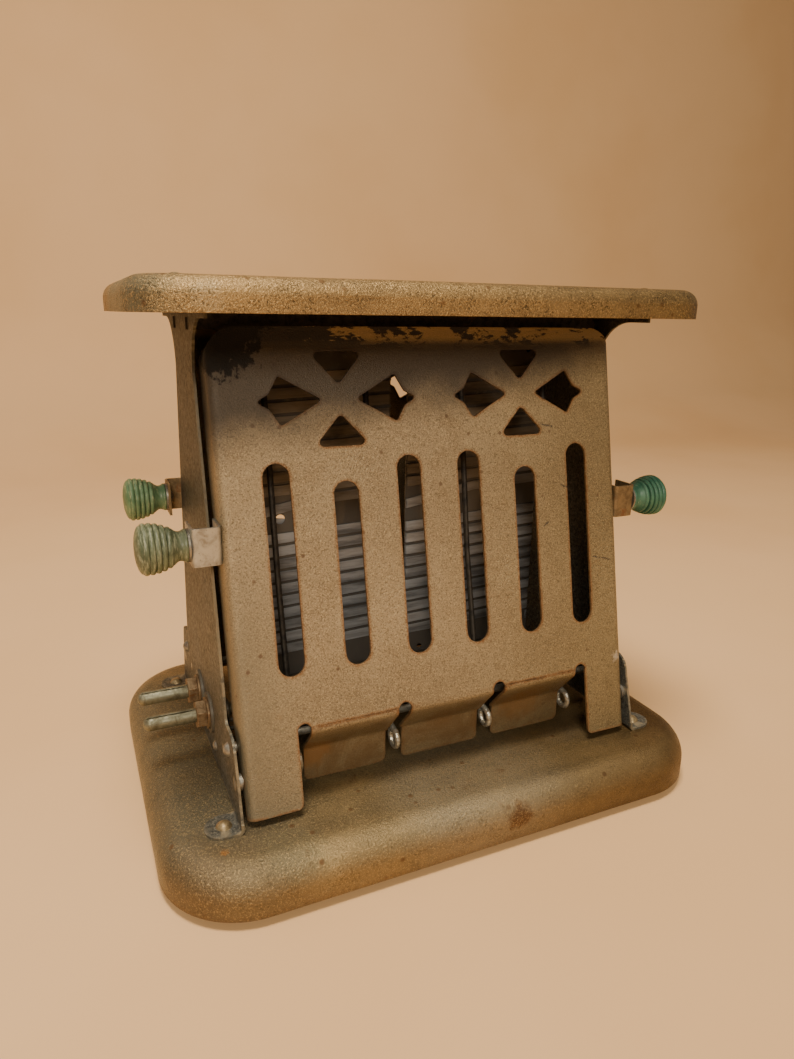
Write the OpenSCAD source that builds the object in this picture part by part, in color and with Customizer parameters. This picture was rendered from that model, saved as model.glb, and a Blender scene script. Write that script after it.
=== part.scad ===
// Drop side toaster: pressed steel base, two end frames, two hinged doors and a mica heating element.
// X runs along the doors, the front door faces -Y, Z is up from the table, the origin is under the middle.

/* [Base] */
// Length of the pressed base
base_l = 190; // [180:1:220]
// Depth of the pressed base
base_w = 142; // [134:1:170]
// Height of the pressed base without its feet
base_h = 14.2; // [13:0.1:18]
// Corner radius of the base seen from above
base_corner_r = 27; // [18:0.5:32]
// Radius of the rounded top edge of the base
base_edge_r = 9; // [5:0.5:10]
// Sheet thickness of the base, plate, doors and end frames
sheet = 0.8; // [0.6:0.05:1]
// Height of the base rim above the table
foot_gap = 3; // [2.2:0.1:6]
// Diameter of a foot
foot_d = 13; // [9:0.5:16]

/* [Top plate] */
// Length of the top plate
plate_l = 181.4; // [176:0.2:200]
// Depth of the top plate
plate_w = 101; // [92:0.5:120]
// Height of the rolled rim of the top plate
plate_h = 9; // [8:0.1:12]
// Corner radius of the top plate seen from above
plate_corner_r = 17; // [10:0.5:22]
// Radius of the top edge of the plate
plate_edge_r = 5; // [3:0.25:7]
// Height of the plate's lower rim above the table
plate_z = 162.1; // [161.5:0.1:170]

/* [End frames] */
// Distance between the outer faces of the two end frames
frame_span = 143.3; // [138:0.1:152]
// Half width of an end frame at its waist
waist_half = 16; // [13:0.5:18]
// Half width of an end frame above its shoulders
hip_half = 35; // [33:0.5:36]
// Height of the shoulders above the table
shoulder_z = 44; // [42:0.5:46]
// Half width of an end frame across its feet
foot_half = 53; // [51:0.5:55]
// Half width of the head of an end frame
head_half = 40; // [34:0.5:42]
// Radius of the sweep from the waist to the head
sweep_r = 15; // [10:0.5:16]
// Reach of a foot tab away from its frame
tab_reach = 9.6; // [8.5:0.1:12]
// Width of a foot tab
tab_w = 10.6; // [9:0.1:12]

/* [Doors] */
// Gap between a door's bent side and the end frame beside it
door_gap = 1.55; // [1.3:0.05:2.5]
// Lean of a closed door from the vertical, in degrees
door_lean = 11.7; // [11:0.1:12.2]
// Height of the slots' lower ends above the table
slot_z = 59.6; // [58.5:0.1:61]
// Distance of the door's outer face from the middle at the slots' lower ends
slot_y = 43.5; // [43:0.1:45]
// Length of the face from the slots' lower ends up to the top edge
face_up = 101.3; // [96:0.1:101.5]
// Length of the face from the slots' lower ends down to the ends of its legs
face_down = 40.8; // [39:0.1:41]
// Depth of the bent sides of a door
side_depth = 12; // [10:0.25:12.5]
// Distance between neighbouring slots
slot_pitch = 21; // [19.5:0.1:22]
// Width of a slot
slot_w = 8; // [6:0.1:9.5]
// Length of the long slots
slot_long = 62.6; // [58:0.1:64]
// Length of the short slots
slot_short = 56.1; // [50:0.1:58]
// Width of each of the two legs of a door
leg_w = 16.8; // [15.5:0.1:17.2]
// Height of the hinge line above the table
hinge_z = 30; // [29.5:0.1:31]
// Distance of the hinge line from the middle
hinge_y = 45.6; // [45.2:0.1:46.2]
// Diameter of a hinge pin
hinge_d = 3; // [2:0.1:3.4]
// Radial clearance of a hinge pin in its hole
hinge_play = 0.1; // [0.02:0.01:0.1]

/* [Bread rest] */
// Distance of the three tongues from the middle
tongue_y = 38; // [37:0.1:39]
// Height of the tongues' lower ends above the table
tongue_z = 19.5; // [18.5:0.1:21]
// Height where the sloping rest starts above the tongues
rest_z = 31; // [30:0.1:32]
// Distance between the keyholes beside the middle tongue
keyhole_pitch = 34.7; // [33:0.1:35.5]
// Width of a keyhole
keyhole_w = 4.4; // [3.6:0.1:5]
// Gap between two tongues
tongue_gap = 5.8; // [5:0.1:6.4]

/* [Knobs] */
// Diameter of a knob's head
knob_d = 14.7; // [12:0.1:17]
// Length of a knob
knob_l = 14.1; // [12:0.1:17]
// Height of the knobs above the slots' lower ends, measured along the door
knob_up = 41.6; // [36:0.1:46]
// Distance of a knob's axis behind the door's outer face
knob_inset = 5; // [4.5:0.1:6]
// Reach of the front door's knob brackets past its sides
front_reach = 8.5; // [8:0.1:11]
// Reach of the rear door's knob brackets past its sides
rear_reach = 6.6; // [6.2:0.1:11]
// Height of a knob bracket
bracket_h = 11.2; // [9:0.1:13]
// Diameter of a knob screw
screw_d = 3; // [2.4:0.1:3.4]

/* [Element] */
// Width of a mica card
card_w = 56; // [48:0.5:57]
// Gap between the two cards
card_gap = 6; // [4:0.5:8]
// Thickness of a mica card
card_t = 0.5; // [0.4:0.05:0.8]
// Turns of ribbon on a card below its plain band
turns_low = 10; // [8:1:11]
// Turns of ribbon on a card above its plain band
turns_high = 11; // [8:1:12]
// Rise of the ribbon in one turn
ribbon_pitch = 4.55; // [4.2:0.05:4.6]
// Height of the plain band of a card
plain_band = 7.5; // [5:0.5:8]
// Width of the ribbon
ribbon_w = 2.9; // [2.2:0.1:3]
// Thickness of the ribbon
ribbon_t = 0.3; // [0.2:0.05:0.4]
// Height of the lowest turn above the table
ribbon_z = 44; // [43:0.5:46]

/* [Guards] */
// Diameter of a guard wire
wire_d = 1.9; // [1.4:0.1:2.2]
// Diameter of the rods that carry the guard wires
rod_d = 2.5; // [2:0.1:2.8]
// Mean radius of the eye at the foot of a guard wire
eye_r = 2.9; // [2.2:0.1:3.1]
// Distance of the guard wires from the middle at their top ends
guard_top_y = 9.5; // [8:0.1:10.5]
// Distance of the guard rods from the middle
rod_y = 30.3; // [29:0.1:30.6]
// Height of the guard rods above the table
rod_z = 32.6; // [31.5:0.1:34]

/* [Terminals] */
// Distance between the two terminal pins
pin_pitch = 17.5; // [16:0.1:20]
// Diameter of a terminal pin
pin_d = 4.8; // [4:0.1:5.2]
// Height of the terminal pins above the table
pin_z = 33.6; // [32:0.1:35]
// Reach of a terminal pin past its end frame
pin_reach = 21.6; // [18:0.1:26]
// Width of a terminal nut across its flats
nut_af = 8.4; // [7.6:0.1:9.4]

/* [Hidden] */
$fn = 48;
cut = 1;

enamel = "#8c7650";
bare = "#a9a79c";
rusty = "#7a4a2b";
mica = "#6b5f4c";
green = "#6f9078";

base_top = foot_gap + base_h;
plate_top = plate_z + plate_h;
frame_x = frame_span / 2;
plate_under = plate_top - sheet;
door_half = frame_x - sheet - door_gap;
bend_r = 3;
tongue_half = (keyhole_pitch - tongue_gap) / 2;
outer_gap = 4.2;
tongue_outer = door_half - leg_w - outer_gap;

// Points of the closed front door: distance s up its outer face from the slots' lower ends, depth t behind it
function face_y(s, t = 0) = -slot_y + s * sin(door_lean) + t * cos(door_lean);
function face_z(s, t = 0) = slot_z + s * cos(door_lean) - t * sin(door_lean);
function face_s(z) = (z - slot_z) / cos(door_lean);

// Arc of points about a centre, used where an outline turns
function arc(c, r, a0, a1, n = 8) =
  [for (i = [0 : n]) c + r * [cos(a0 + (a1 - a0) * i / n), sin(a0 + (a1 - a0) * i / n)]];

// Unit vector and left normal of a step between two points of a flat path
function unit(v) = v / norm(v);
function left_of(v) = [-v[1], v[0]];

// A flat path with each inner corner turned through a round bend of radius r
function bent(p, r, n = 6) = concat([p[0]],
  [for (i = [1 : len(p) - 2])
    let (a = unit(p[i - 1] - p[i]), b = unit(p[i + 1] - p[i]),
      half = acos(a * b) / 2, reach = r / tan(half), c = p[i] + unit(a + b) * r / sin(half),
      s = p[i] + a * reach - c, turn = (180 - 2 * half) * (a[0] * b[1] - a[1] * b[0] > 0 ? -1 : 1))
    for (k = [0 : n]) c + [s[0] * cos(turn * k / n) - s[1] * sin(turn * k / n),
      s[0] * sin(turn * k / n) + s[1] * cos(turn * k / n)]],
  [p[len(p) - 1]]);

// Outline of a sheet of thickness t laid to the left of a flat path
function strip(p, t) = let (m = len(p) - 1,
  d = [for (i = [0 : m]) unit(p[min(i + 1, m)] - p[max(i - 1, 0)])],
  q = [for (i = [0 : m]) let (e = i == 0 || i == m ? 1 : unit(p[i + 1] - p[i]) * d[i])
    p[i] + left_of(d[i]) * t / e])
  concat(p, [for (i = [m : -1 : 0]) q[i]]);

// Extrudes an outline drawn in (Y, Z) along X from x0 to x1
module along_x(x0, x1) {
  translate([x0, 0, 0])
    rotate([90, 0, 90])
      linear_extrude(x1 - x0) children();
}

// A round bar between two points on one line parallel to X
module bar_x(x0, x1, y, z, d) {
  translate([x0, y, z])
    rotate([0, 90, 0])
      cylinder(h = x1 - x0, d = d);
}

// A low domed head whose flat side is at the origin and whose crown points along +Z
module dome(d, h) {
  r = (d * d / 4 + h * h) / (2 * h);
  intersection() {
    translate([0, 0, h - r]) sphere(r = r);
    cylinder(h = h, d = d);
  }
}

// A round wire through a list of points, turned through a round bend of radius r at each inner one
module wire(p, d, r) {
  m = len(p) - 1;
  dir = [for (i = [0 : m - 1]) unit(p[i + 1] - p[i])];
  turn = [for (i = [0 : m]) i == 0 || i == m ? 0 : acos(dir[i - 1] * dir[i])];
  reach = [for (a = turn) r * tan(a / 2)];
  for (i = [0 : m - 1]) {
    a = p[i] + dir[i] * reach[i];
    b = p[i + 1] - dir[i] * reach[i + 1];
    translate(a)
      rotate([0, acos(dir[i][2]), atan2(dir[i][1], dir[i][0])])
        cylinder(h = norm(b - a), d = d);
  }
  for (i = [1 : m - 1]) {
    inward = unit(dir[i] - dir[i - 1]);
    c = p[i] + inward * r / cos(turn[i] / 2);
    u = unit(p[i] - dir[i - 1] * reach[i] - c);
    v = dir[i - 1];
    w = cross(u, v);
    multmatrix([[u[0], v[0], w[0], c[0]], [u[1], v[1], w[1], c[1]],
      [u[2], v[2], w[2], c[2]], [0, 0, 0, 1]])
      rotate_extrude(angle = turn[i]) translate([r, 0]) circle(d = d);
  }
}

// Rounded slab with square lower edges: the outer or inner form of a pressed pan
module pressed(l, w, h, corner, edge) {
  module profile(half) {
    square([half - edge, h]);
    square([half, h - edge]);
    translate([half - edge, h - edge]) circle(r = edge);
  }
  module bar(len, half) {
    rotate([90, 0, 0])
      linear_extrude(len, center = true) {
        intersection() {
          union() {
            profile(half);
            mirror([1, 0]) profile(half);
          }
          translate([-half, 0]) square([2 * half, h]);
        }
      }
  }
  bar(w - 2 * corner, l / 2);
  rotate([0, 0, 90]) bar(l - 2 * corner, w / 2);
  for (x = [-1, 1], y = [-1, 1])
    translate([x * (l / 2 - corner), y * (w / 2 - corner), 0])
      rotate_extrude()
        intersection() {
          profile(corner);
          square([corner, h]);
        }
}

module pan(l, w, h, corner, edge) {
  difference() {
    pressed(l, w, h, corner, edge);
    translate([0, 0, -cut])
      pressed(l - 2 * sheet, w - 2 * sheet, h - sheet + cut, corner - sheet, edge - sheet);
  }
}

// Base: a pressed pan, a plate that closes it from below and four feet
bolt_x = 34;
bolt_d = 3;
bolt_play = 0.2;
bottom_lift = foot_gap + 3.2;
bottom_gap = 0.3;
rivet_d = 3;
foot_rivet_y = foot_half - 5.3;
foot_rivet_x = frame_x + 4.2;
foot_pos_x = base_l / 2 - base_corner_r + 2;
foot_pos_y = base_w / 2 - base_corner_r + 2;

module base_pan() {
  color(enamel)
    difference() {
      translate([0, 0, foot_gap]) pan(base_l, base_w, base_h, base_corner_r, base_edge_r);
      for (x = [-1, 1], y = [-1, 1])
        translate([x * foot_rivet_x, y * foot_rivet_y, base_top - sheet - cut])
          cylinder(h = sheet + 2 * cut, d = rivet_d);
      for (x = [-1, 1])
        translate([x * bolt_x, 0, base_top - sheet - cut])
          cylinder(h = sheet + 2 * cut, d = bolt_d + 2 * bolt_play);
    }
}

module bottom_plate() {
  l = base_l - 2 * sheet - 2 * bottom_gap;
  w = base_w - 2 * sheet - 2 * bottom_gap;
  corner = base_corner_r - sheet - bottom_gap;
  color("#6d6350")
    difference() {
      translate([0, 0, bottom_lift]) {
        translate([-l / 2 + corner, -w / 2, 0]) cube([l - 2 * corner, w, sheet]);
        translate([-l / 2, -w / 2 + corner, 0]) cube([l, w - 2 * corner, sheet]);
        for (x = [-1, 1], y = [-1, 1])
          translate([x * (l / 2 - corner), y * (w / 2 - corner), 0])
            cylinder(h = sheet, r = corner);
      }
      for (x = [-1, 1])
        translate([x * bolt_x, 0, bottom_lift - cut])
          cylinder(h = sheet + 2 * cut, d = bolt_d + 2 * bolt_play);
      for (x = [-1, 1], y = [-1, 1])
        translate([x * foot_pos_x, y * foot_pos_y, bottom_lift - cut])
          cylinder(h = sheet + 2 * cut, d = rivet_d);
    }
}

foot_bore = 2.2;
module base_feet() {
  color("#3a332b")
    for (x = [-1, 1], y = [-1, 1])
      translate([x * foot_pos_x, y * foot_pos_y, 0])
        difference() {
          union() {
            cylinder(h = bottom_lift, d = foot_d - 1.6);
            translate([0, 0, 0.8]) cylinder(h = bottom_lift - 0.8, d = foot_d);
          }
          translate([0, 0, -cut]) cylinder(h = bottom_lift + 2 * cut, d = rivet_d);
          translate([0, 0, -cut]) cylinder(h = foot_bore + cut, d = 2 * rivet_d);
        }
}

module foot_rivets() {
  color(bare)
    for (x = [-1, 1], y = [-1, 1])
      translate([x * foot_pos_x, y * foot_pos_y, 0]) {
        translate([0, 0, foot_bore]) cylinder(h = bottom_lift + sheet - foot_bore, d = rivet_d);
        translate([0, 0, foot_bore]) mirror([0, 0, 1]) dome(5.2, 1.4);
        translate([0, 0, bottom_lift + sheet]) dome(5.2, 1.4);
      }
}

// Lower rail: a folded channel that stands on the base and holds the cards' lower edges
rail_z = base_top + 1.4;
rail_h = 19;
rail_half = 3.4;
rail_x = frame_x - sheet - 0.6;
low_rail_x = card_gap / 2 + card_w + 2.2;
card_slit = 0.15;

module lower_rail() {
  web = rail_z + rail_h - sheet;
  color("#7b6f5a")
    difference() {
      along_x(-low_rail_x, low_rail_x)
        polygon(strip(bent([[-rail_half, base_top + sheet], [-rail_half, web + sheet],
          [rail_half, web + sheet], [rail_half, base_top + sheet]], 1.2), -sheet));
      for (side = [-1, 1])
        translate([side * (card_gap + card_w) / 2 - card_w / 2 - 0.3, -card_t / 2 - card_slit,
          web - cut])
          cube([card_w + 0.6, card_t + 2 * card_slit, sheet + 2 * cut]);
      for (side = [-1, 1])
        translate([side * lead_x, 0, web - cut])
          cylinder(h = sheet + 2 * cut, d = 5);
    }
  color("#7b6f5a")
    difference() {
      translate([-low_rail_x, -rail_half, base_top])
        cube([2 * low_rail_x, 2 * rail_half, sheet]);
      for (x = [-1, 1])
        translate([x * bolt_x, 0, base_top - cut])
          cylinder(h = sheet + 2 * cut, d = bolt_d + 2 * bolt_play);
    }
}

module tie_bolts() {
  color(bare)
    for (x = [-1, 1])
      translate([x * bolt_x, 0, 0]) {
        translate([0, 0, foot_gap + 0.3])
          cylinder(h = base_top + sheet - foot_gap - 0.3, d = bolt_d);
        translate([0, 0, base_top + sheet]) dome(5.6, 1.8);
      }
}

module tie_nuts() {
  color(bare)
    for (x = [-1, 1])
      translate([x * bolt_x, 0, bottom_lift - 2.4])
        difference() {
          cylinder(h = 2.4, d = 6.4, $fn = 6);
          translate([0, 0, -cut]) cylinder(h = 2.4 + 2 * cut, d = bolt_d, $fn = 48);
        }
}

// End frames: a waisted upright with a swept head, shoulders, two feet bent outwards and a head flange
waist_z = plate_z - sweep_r - 1.3;
head_z = plate_z - 1.3;
head_flange = 9;
shoulder_r = 6;
rivet_hole_z = pin_z - 8.6;
insulator_rivet_y = 16;
leg_half = foot_half - (foot_half - hip_half) * 0.42;

function frame_side() = concat(
  [[foot_half, base_top + 1.6]],
  arc([leg_half - shoulder_r + 1.6, shoulder_z - shoulder_r], shoulder_r, 12, 90, 8),
  [[hip_half + 1.8, shoulder_z]],
  arc([hip_half + 1.8, shoulder_z + 1.8], 1.8, 270, 192, 4),
  [[hip_half - 0.7, shoulder_z + 8]],
  arc([waist_half + sweep_r, waist_z], sweep_r, 180, 90, 12),
  [[head_half, head_z], [head_half, plate_under - 1.6]]);

function reversed(p) = [for (i = [len(p) - 1 : -1 : 0]) p[i]];
function flipped(p) = [for (q = reversed(p)) [-q[0], q[1]]];

// Outline of the upright between its two straight lower edges
module frame_outline() {
  side = frame_side();
  polygon(concat(side, flipped(side),
    [[-foot_half, base_top + 1.6], [-foot_half + tab_w, base_top + 1.6],
      [-foot_half + tab_w + 1.4, base_top + 0.4], [foot_half - tab_w - 1.4, base_top + 0.4],
      [foot_half - tab_w, base_top + 1.6]]));
}

// One end frame on the -X side
module end_frame(terminals) {
  x0 = -frame_x;
  bend = 1.6;
  tab_end = 5;
  color(enamel)
    difference() {
      union() {
        along_x(x0, x0 + sheet) frame_outline();
        for (y = [-1, 1]) {
          translate([0, y * (foot_half - tab_w / 2), 0])
            rotate([90, 0, 0])
              linear_extrude(tab_w, center = true)
                polygon(strip(bent([[x0 - tab_reach + tab_end, base_top],
                  [x0 + sheet, base_top], [x0 + sheet, base_top + 1.6 + bend]], bend), sheet));
          translate([x0 - tab_reach + tab_end, y * (foot_half - tab_w / 2), base_top])
            intersection() {
              cylinder(h = sheet, r = tab_w / 2);
              translate([-tab_w, -tab_w / 2, 0]) cube([tab_w + 0.5, tab_w, sheet]);
            }
        }
        rotate([90, 0, 0])
          linear_extrude(2 * head_half, center = true)
            polygon(strip(bent([[x0 + sheet, plate_under - 1.6 - bend], [x0 + sheet, plate_under],
              [x0 - head_flange, plate_under]], bend), sheet));
      }
      for (y = [-1, 1]) {
        translate([-foot_rivet_x, y * foot_rivet_y, base_top - cut])
          cylinder(h = sheet + 2 * cut, d = rivet_d);
        translate([-plate_rivet_x, y * plate_rivet_y, plate_under - sheet - cut])
          cylinder(h = sheet + 2 * cut, d = rivet_d);
        bar_x(x0 - cut, x0 + sheet + cut, y * hinge_y, hinge_z, hinge_d);
        bar_x(x0 - cut, x0 + sheet + cut, y * rod_y, rod_z, rod_end_d);
        bar_x(x0 - cut, x0 + sheet + cut, y * stud_y, stud_z, stud_d);
        along_x(x0 - cut, x0 + sheet + cut)
          translate([y * upper_half - (y > 0 ? sheet : 0) - 0.1, upper_z - upper_lip - 0.1])
            square([sheet + 0.2, upper_lip - 2 + 0.2]);
        if (terminals) {
          bar_x(x0 - cut, x0 + sheet + cut, y * pin_pitch / 2, pin_z, bush_d);
          bar_x(x0 - cut, x0 + sheet + cut, y * insulator_rivet_y, rivet_hole_z, 2);
        }
      }
    }
}

module left_end_frame() {
  end_frame(true);
}

module right_end_frame() {
  mirror([1, 0, 0]) end_frame(false);
}

module frame_rivets() {
  color("#8f8466")
    for (x = [-1, 1], y = [-1, 1])
      translate([x * foot_rivet_x, y * foot_rivet_y, 0]) {
        translate([0, 0, base_top - sheet]) cylinder(h = 2 * sheet, d = rivet_d);
        translate([0, 0, base_top + sheet]) dome(4.8, 1.5);
        translate([0, 0, base_top - sheet]) mirror([0, 0, 1]) dome(4.8, 1.2);
      }
}

// Top plate: a shallow pressed tray turned upside down, with a slightly raised middle
plate_rivet_x = frame_x + 5;
plate_rivet_y = 30;
panel_rise = 0.6;
panel_margin = 20;

// The raised middle as a plain slab of height h, its outline moved in by inset
module panel(inset, h) {
  r = plate_corner_r - 6 - inset;
  x = plate_l / 2 - panel_margin - inset - r;
  y = plate_w / 2 - panel_margin - inset - r;
  linear_extrude(h) {
    translate([-x - r, -y]) square([2 * (x + r), 2 * y]);
    translate([-x, -y - r]) square([2 * x, 2 * (y + r)]);
    for (i = [-1, 1], k = [-1, 1]) translate([i * x, k * y]) circle(r = r);
  }
}

module top_plate() {
  color("#8a6a3c")
    difference() {
      union() {
        translate([0, 0, plate_z]) pan(plate_l, plate_w, plate_h, plate_corner_r, plate_edge_r);
        translate([0, 0, plate_top - sheet / 2])
          panel(0, panel_rise + sheet / 2);
      }
      translate([0, 0, plate_under - cut]) panel(1, panel_rise + cut);
      for (x = [-1, 1], y = [-1, 1])
        translate([x * plate_rivet_x, y * plate_rivet_y, plate_under - cut])
          cylinder(h = sheet + panel_rise + 2 * cut, d = rivet_d);
    }
}

module plate_rivets() {
  color("#8a6a3c")
    for (x = [-1, 1], y = [-1, 1])
      translate([x * plate_rivet_x, y * plate_rivet_y, 0]) {
        translate([0, 0, plate_under - sheet]) cylinder(h = 2 * sheet, d = rivet_d);
        translate([0, 0, plate_top]) dome(5, 0.9);
        translate([0, 0, plate_under - sheet]) mirror([0, 0, 1]) dome(4.6, 1.2);
      }
}

// Upper rail: an inverted channel under the plate that holds the cards and the guard wires from above
upper_half = 12.5;
upper_z = plate_z + 0.8;
upper_lip = 5.4;

module upper_rail() {
  color("#7b6f5a")
    difference() {
      union() {
        along_x(-rail_x, rail_x)
          polygon(strip(bent([[-upper_half, upper_z - upper_lip], [-upper_half, upper_z],
            [upper_half, upper_z], [upper_half, upper_z - upper_lip]], 1), -sheet));
        for (x = [-1, 1], y = [-1, 1])
          translate([x * (rail_x + frame_x) / 2, y * (upper_half - sheet / 2),
            upper_z - upper_lip / 2 - 1])
            cube([frame_x - rail_x + 1, sheet, upper_lip - 2], center = true);
      }
      for (side = [-1, 1])
        translate([side * (card_gap + card_w) / 2 - card_w / 2 - 0.3, -card_t / 2 - card_slit,
          upper_z - sheet - cut])
          cube([card_w + 0.6, card_t + 2 * card_slit, sheet + 2 * cut]);
      for (x = guard_x, y = [-1, 1])
        translate([x, y * guard_top_y, upper_z - sheet - cut])
          cylinder(h = sheet + 2 * cut, d = wire_d);
    }
}

// Stop studs: riveted in the end frames, the closed doors' bent sides lean on their inner ends
stud_d = 3;
stud_y = 38.5;
stud_z = 37;
stud_head_d = 4.6;
stud_head_h = 1.6;
stop_gap = 0.12;
stud_r = norm([hinge_y - stud_y, stud_z - hinge_z]);
stop_angle = atan2(stud_z - hinge_z, hinge_y - stud_y) + asin((stud_d / 2 + stop_gap) / stud_r);

module stop_studs() {
  color("#8f8466")
    for (x = [-1, 1], y = [-1, 1])
      mirror([x > 0 ? 1 : 0, 0, 0])
        mirror([0, y > 0 ? 1 : 0, 0]) {
          bar_x(-frame_x, -door_half + sheet + 0.8, -stud_y, stud_z, stud_d);
          translate([-frame_x, -stud_y, stud_z]) rotate([0, -90, 0]) dome(stud_head_d, stud_head_h);
        }
}

// Mica cards with notched edges, and the ribbon wound on them
turns = turns_low + turns_high;
card_z0 = rail_z + rail_h - 8;
card_top = upper_z + 1.2;
notch_w = ribbon_w + 0.3;
notch_depth = 1.2;
run_half = card_w / 2 - notch_depth + 0.1;
wrap_r = card_t / 2 + 0.35 + ribbon_t / 2;

// Height of the ribbon at turn u, counted from the lowest turn: the plain band is passed at the back
function band_step(u) = max(0, min(1, (u - turns_low - 0.55) / 0.4));
function ribbon_height(u) = ribbon_z + ribbon_pitch * u + plain_band * band_step(u);
ribbon_top = ribbon_height(turns - 0.1);

// One turn seen from above, as [x, y, direction], starting in the middle of the front
turn_plan = concat([[0, -wrap_r, 0], [run_half - 0.1, -wrap_r, 0]],
  [for (i = [1 : 5]) [run_half + wrap_r * sin(30 * i), -wrap_r * cos(30 * i), 30 * i]],
  [[run_half - 0.1, wrap_r, 180], [0, wrap_r, 180], [-run_half + 0.1, wrap_r, 180]],
  [for (i = [1 : 5]) [-run_half - wrap_r * sin(30 * i), wrap_r * cos(30 * i), 180 + 30 * i]],
  [[-run_half + 0.1, -wrap_r, 360]]);
turn_steps = len(turn_plan);
plan_run = [for (i = [0 : turn_steps - 1]) norm([turn_plan[(i + 1) % turn_steps][0] - turn_plan[i][0],
  turn_plan[(i + 1) % turn_steps][1] - turn_plan[i][1]])];
function run_to(i) = i == 0 ? 0 : run_to(i - 1) + plan_run[i - 1];
turn_share = [for (i = [0 : turn_steps - 1]) run_to(i) / run_to(turn_steps)];

ribbon_stations = [for (k = [0 : turns - 1], i = [0 : turn_steps - 1])
  let (u = k + turn_share[i]) if (u > 0.1 && u < turns - 0.1)
    [turn_plan[i][0], turn_plan[i][1], ribbon_height(u), turn_plan[i][2]]];

// Corners of the ribbon's flat section at one station
function ribbon_ring(s) = let (n = [sin(s[3]), -cos(s[3]), 0] * ribbon_t / 2,
  h = [0, 0, ribbon_w / 2], c = [s[0], s[1], s[2]])
  [c - n - h, c + n - h, c + n + h, c - n + h];

module ribbon() {
  m = len(ribbon_stations);
  points = [for (s = ribbon_stations) each ribbon_ring(s)];
  sides = [for (i = [0 : m - 2], k = [0 : 3]) each
    [[4 * i + k, 4 * i + 4 + (k + 1) % 4, 4 * i + 4 + k],
      [4 * i + k, 4 * i + (k + 1) % 4, 4 * i + 4 + (k + 1) % 4]]];
  ends = [[0, 2, 1], [0, 3, 2], [4 * m - 1, 4 * m - 3, 4 * m - 2], [4 * m - 1, 4 * m - 4, 4 * m - 3]];
  polyhedron(points, concat(sides, ends));
}

// Least gap of the ribbon to itself: between neighbouring turns, and across the card
ribbon_gaps = [for (k = [turn_steps : len(ribbon_stations) - 1])
  ribbon_stations[k][2] - ribbon_stations[k - turn_steps][2] - ribbon_w];
echo(least_ribbon_gap = min(min(ribbon_gaps), 2 * wrap_r - ribbon_t));

card_x = (card_gap + card_w) / 2;
ribbon_rivet_x = card_w / 2 - 7;
lead_x = card_x + ribbon_rivet_x;
rivet_low_z = ribbon_z - 4.6;
rivet_high_z = ribbon_top + 4;

// Heights at which the ribbon passes one edge of the card
function edge_heights(side) = [for (k = [0 : turns - 1])
  let (u = k + (side > 0 ? 0.25 : 0.75)) if (u < turns - 0.1) ribbon_height(u)];

module card() {
  difference() {
    translate([-card_w / 2, -card_t / 2, card_z0])
      cube([card_w, card_t, card_top - card_z0]);
    for (side = [-1, 1], z = edge_heights(side))
      translate([side * (card_w / 2 - notch_depth / 2 + cut / 2), 0, z])
        cube([notch_depth + cut, 2 * card_t, notch_w], center = true);
    for (z = [rivet_low_z, rivet_high_z], x = [-1, 1])
      translate([x * ribbon_rivet_x, 0, z])
        rotate([90, 0, 0]) cylinder(h = 2, d = 2, center = true);
    translate([-card_w * 0.22, 0, ribbon_height(turns_low) + ribbon_pitch / 2 + plain_band / 2])
      rotate([90, 0, 0]) cylinder(h = 2, d = 3.4, center = true);
  }
}

module left_card() {
  color(mica) translate([-card_x, 0, 0]) card();
}

module right_card() {
  color(mica) translate([card_x, 0, 0]) card();
}

module left_ribbon() {
  color("#54514d") translate([-card_x, 0, 0]) ribbon();
}

module right_ribbon() {
  color("#54514d") translate([card_x, 0, 0]) ribbon();
}

// Rivets that clamp the ribbon's ends and the leads to the cards
module ribbon_rivets() {
  color(bare)
    for (side = [-1, 1], end = [0, 1])
      translate([side * (end == 0 ? lead_x : card_x - ribbon_rivet_x), 0,
        end == 0 ? rivet_low_z : rivet_high_z]) {
        rotate([90, 0, 0]) cylinder(h = card_t + 1.2, d = 2, center = true);
        for (y = [-1, 1])
          mirror([0, y > 0 ? 0 : 1, 0])
            translate([0, card_t / 2 + 0.6, 0]) rotate([-90, 0, 0]) dome(4.2, 1);
      }
}

// Strip that joins the upper ends of the two ribbons
module ribbon_bridge() {
  half = card_x - ribbon_rivet_x;
  color(bare)
    difference() {
      translate([-half - 2.4, -card_t / 2 - 0.5, rivet_high_z - 1.8])
        cube([2 * half + 4.8, 0.5, 3.6]);
      for (x = [-1, 1])
        translate([x * half, 0, rivet_high_z])
          rotate([90, 0, 0]) cylinder(h = 4, d = 2, center = true);
    }
}

// Leads: stiff wires looped round the terminal pins, with a flat tag at the foot of each card
lead_d = 1.6;
lead_low = base_top + 4.2;
lead_step = 3.4;
mica_plate_t = 1;
inner_nut_t = 2.6;
pin_shank_d = pin_d - 0.4;
loop_x = -frame_x + sheet + mica_plate_t + inner_nut_t + lead_d / 2;
inner_end = loop_x + 2.2;

// A lead runs down from its pin, along the middle of the lower rail and up through a hole in its web
module lead(x_end, y_pin, level) {
  y_card = -card_t / 2 - lead_d / 2 - 0.15;
  loop_r = (pin_shank_d + lead_d) / 2 + 0.02;
  color("#6a6458") {
    translate([loop_x, y_pin, pin_z])
      rotate([0, 90, 0])
        rotate_extrude() translate([loop_r, 0]) circle(d = lead_d);
    wire([[loop_x, y_pin, pin_z - loop_r], [loop_x, y_pin, lead_low + level],
      [loop_x, y_card, lead_low + level], [x_end, y_card, lead_low + level],
      [x_end, y_card, rivet_low_z - 2.4]], lead_d, 2);
    difference() {
      translate([x_end - 1.8, -card_t / 2 - 0.6, rivet_low_z - 5])
        cube([3.6, 0.5, 6.8]);
      translate([x_end, 0, rivet_low_z])
        rotate([90, 0, 0]) cylinder(h = 4, d = 2, center = true);
    }
  }
}

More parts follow.
